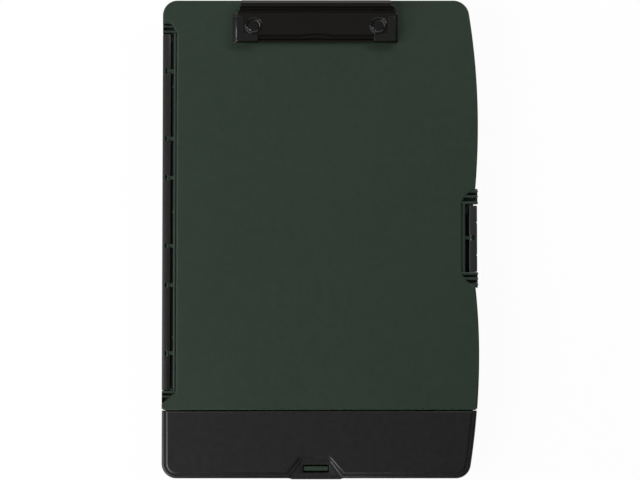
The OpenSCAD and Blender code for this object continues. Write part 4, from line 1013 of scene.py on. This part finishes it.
def buildClipBase():
    # a plate with a narrow neck at the rear and an upright ear with a round top at each end of the neck
    c, x, low = clip, case["clipX"], case["face"]
    axle = (c["axleY"], c["axleZ"])
    end, wide, front = c["earX"] + c["earWall"], c["plateHalf"], c["plateFront"]
    rear, step = c["axleY"] + c["earR"] - 0.05, c["axleY"] - c["earR"]
    plan = [(x - end, step), (x - wide, step), (x - wide, front), (x + wide, front), (x + wide, step),
            (x + end, step), (x + end, rear), (x - end, rear)]
    plan = roundCorners(plan, (0.4, 1.5, 2.5, 2.5, 1.5, 0.4, 0.4, 0.4))
    parts = [blockSolid(plan, low, low + c["sheet"], 0.2, 0.1)]
    back = c["axleY"] + c["earRear"]
    foot = [(step, low + 0.1), (back, low + 0.1), (back, c["axleZ"] - c["earR"])]
    ear = np.concatenate([foot, arcPoints(axle, c["earR"], -50, 180, 28)])
    hole = arcPoints(axle, c["axleR"] + c["axleSpare"], 0, 360, 25)[:-1]
    for s in (-1, 1):
        x0, x1 = sorted((x + s * c["earX"], x + s * end))
        parts.append(boredSolid(ear, hole, bevelledSteps(x0, x1, c["earEdge"]), alongX))
    body = nodes["clip_base_plate"]["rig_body"]
    obj = makePiece("clipPlate", parts, body, "clipLacquer")
    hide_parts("clip_base_plate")
    # the axle with a low domed head at each end
    r, tip = c["axleR"], end + c["axleHead"]
    neck = 0.02 - end
    head = np.array([(0, -tip), (r * 0.7, -tip), (r + 0.3, 0.15 - tip), (r + 0.4, neck), (r, neck)])
    v, f = lathe(np.concatenate([head, head[::-1] * [1, -1]]), (0, 0), 28)
    v = np.column_stack([v[:, 2] + x, v[:, 0] + c["axleY"], v[:, 1] + c["axleZ"]])
    body = nodes["clip_axle"]["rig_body"]
    obj = makePiece("clipAxle", [(v, f)], body, "blackSteel")
    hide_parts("clip_axle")


def buildGrip(side, name):
    # a rubber corner: a flared foot under the panel's corner, a raised L over it, and a round button
    g = grip
    top, foot = clip["panelZ"] + clip["sheet"] / 2, case["face"] + 0.3
    inner = clip["lipHalf"] + 0.1
    flare = g["flareLeft"] if side < 0 else g["flareRight"]

    def x(q):
        return case["clipX"] + side * q

    def handed(points, radii, n=6):
        # a polygon drawn for the right side, kept anticlockwise on the left
        points = [(x(p), q) for p, q in points]
        return roundCorners(points[::side], np.broadcast_to(radii, len(points))[::side], n)

    def stack(rows, start=0.0):
        # rounded rectangles one above another, whose inner sides are measured from start
        rings = []
        for x0, y0, x1, y1, flared, z, r in rows:
            x0, x1 = start + x0, x1 + flared * flare
            loop = handed([(x0, y0), (x1, y0), (x1, y1), (x0, y1)], r)
            rings.append(liftLoop(loop, z + (top if z < 0 else foot)))
        return ringSolid(rings)

    parts = [stack(g["corner"], inner), stack(g["flange"])]      # the flange stands beside the roll
    if side > 0:
        # a curved arm from the flange back to the roll's end
        middle, out, within = (x(g["armMiddle"][0]), g["armMiddle"][1]), g["armOuter"], g["armInner"]
        arm = [[(middle[0] + out, g["armFrom"])], arcPoints(middle, out, 0, 90, 10),
               arcPoints(middle, within, 90, 0, 10), [(middle[0] + within, g["armFrom"])]]
        parts.append(blockSolid(np.concatenate(arm), foot + 1.3, top - 0.8))
    # the L-shaped rim, a little proud of the sheet, and a bevelled ridge along its outer side
    y0, y1, leg = g["from"], g["to"], g["legFrom"]
    rim = handed([(inner, y0), (g["outer"], y0), (g["outer"], y1), (g["legInner"], y1), (g["legInner"], leg),
                  (inner, leg)], g["rimR"])
    parts.append(blockSolid(rim, top - g["rimUnder"], top + g["rimProud"], 0.25, 0.1))
    ridge = handed([(q, top + z) for q, z in g["ridge"]], g["ridgeR"], 4)
    parts.append(turned(blockSolid(ridge, g["ridgeFrom"], g["ridgeTo"], 0.1, 0.1, 3), alongY))
    obj = makePiece("clipGrip" + name, parts, "clip", "gripRubber")
    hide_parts("clip_grip_" + name.lower())
    button = lathe(np.array(g["button"]) + [0, top], (x(g["buttonX"]), g["buttonY"]))
    makePiece("clipButton" + name, [button], "clip", "buttonPlastic", 40)


def buildSpring(side, name):
    # a helix about the axle with a leg forward on the base plate and a tail up at the roll
    s, y, z = spring, clip["axleY"], clip["axleZ"]
    t = np.linspace(0, s["turns"], int(s["turns"] * s["perTurn"]) + 1)
    a = np.radians(360 * t - 90)
    coil = np.column_stack([s["from"] + s["pitch"] * t, y + s["r"] * np.cos(a), z + s["r"] * np.sin(a)])
    leg = [(s["from"], y + dy, case["face"] + s["legZ"] + dz) for dy, dz in s["leg"]]
    tail = [(s["from"] + s["pitch"] * s["turns"], y + dy, z + s["r"]) for dy in s["tail"]]
    path = np.concatenate([leg, coil, tail])
    path[:, 0] = case["clipX"] + side * path[:, 0]
    body = nodes["clip_spring_" + name.lower()]["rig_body"]
    obj = makePiece("clipSpring" + name, [tubeAlong(path, s["wire"])], body, "brightSteel", 50)
    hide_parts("clip_spring_" + name.lower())


buildLever()
buildCheeks()
for side, name in ((-1, "Left"), (1, "Right")):
    buildGrip(side, name)
    buildSpring(side, name)
buildClipBase()
print("clip built")


# the pins, rivets and washers keep their CAD shape
for node in ("hinge_pin_cover", "hinge_pin_base", "side_latch_pin", "pen_lid_hinge_rod", "clip_rivet_left",
             "clip_rivet_right", "rivet_washer_left", "rivet_washer_right"):
    obj = nodes[node]
    obj.data.materials.clear()
    obj.data.materials.append(materials["brightSteel"])


# camera, light and floor: lengths in metres, the tilt in degrees, and power in watts
view = {"distance": 1.5, "tilt": 2.35, "aim": (-0.0004, -0.00105, 0.025), "span": 0.5262, "sensor": 36.0}
lamps = {
    "key": {"place": (-1.0, -0.42, 0.6), "size": (2.0, 0.9), "power": 24.0},
    "right": {"place": (0.85, 0.95, 0.7), "size": (0.9, 0.03), "power": 9.0},
    "over": {"place": (-0.7, 0.0, 2.5), "size": (3.0, 3.4), "power": 7.0},
    "rearHigh": {"place": (0.0, 1.3, 0.8), "size": (1.8, 0.7), "power": 5.5},
    "rearLow": {"place": (0.0, 1.6, 0.22), "size": (2.4, 0.4), "power": 3.0},
    "front": {"place": (0.15, -1.35, 0.6), "size": (1.6, 0.4), "power": 0.4},
}
room = {"ambient": 0.07, "floorHalf": 6, "floorTone": 0.92, "floorRough": 0.8, "glow": 0.95}


def addCamera():
    cam = bpy.data.cameras.new("camera")
    cam.sensor_width = view["sensor"]
    cam.lens = view["sensor"] * view["distance"] / view["span"]
    cam.clip_start, cam.clip_end = 0.05, 50.0
    obj = addObject("camera", cam)
    tilt = math.radians(view["tilt"])
    obj.location = Vector(view["aim"]) + Vector((0, -math.sin(tilt), math.cos(tilt))) * view["distance"]
    obj.rotation_euler = (tilt, 0, 0)
    bpy.context.scene.camera = obj


def addLamps():
    # soft rectangles that face the object's origin
    for name, lamp in lamps.items():
        data = bpy.data.lights.new(name, "AREA")
        data.shape, data.energy = "RECTANGLE", lamp["power"]
        data.size, data.size_y = lamp["size"]
        obj = addObject(name, data)
        obj.visible_camera = False
        obj.location = lamp["place"]
        obj.rotation_euler = Vector(lamp["place"]).to_track_quat("Z", "Y").to_euler()
    world = bpy.data.worlds.new("studio")
    bpy.context.scene.world = world
    world.use_nodes = True
    setInputs(world.node_tree, world.node_tree.nodes["Background"],
              {"Color": (1, 1, 1, 1), "Strength": room["ambient"]})


def addFloor():
    # a pale floor that mostly glows where it is seen straight or in a reflection
    half, tone = room["floorHalf"], room["floorTone"]
    mesh = bpy.data.meshes.new("floor")
    corners = [(-half, -half, 0), (half, -half, 0), (half, half, 0), (-half, half, 0)]
    mesh.from_pydata(corners, [], [(0, 1, 2, 3)])
    floor = addObject("floor", mesh)
    mat = bpy.data.materials.new("paleFloor")
    mat.use_nodes = True
    tree = mat.node_tree
    shader = tree.nodes["Principled BSDF"]
    setInputs(tree, shader, {"Base Color": (tone, tone, tone, 1), "Roughness": room["floorRough"]})
    rays = addNode(tree, "ShaderNodeLightPath").outputs
    seen = addNode(tree, "ShaderNodeMath", {0: rays["Is Camera Ray"], 1: rays["Is Glossy Ray"]},
                   operation="MAXIMUM")
    share = addNode(tree, "ShaderNodeMath", {0: seen.outputs[0], 1: room["glow"]}, operation="MULTIPLY")
    glow = addNode(tree, "ShaderNodeEmission", {"Strength": 1.0})
    shares = {0: share.outputs[0], 1: shader.outputs[0], 2: glow.outputs[0]}
    mix = addNode(tree, "ShaderNodeMixShader", shares)
    setInputs(tree, tree.nodes["Material Output"], {"Surface": mix.outputs[0]})
    mesh.materials.append(mat)


addCamera()
addLamps()
addFloor()
bpy.context.scene.view_settings.view_transform = "Standard"
print("stage set")
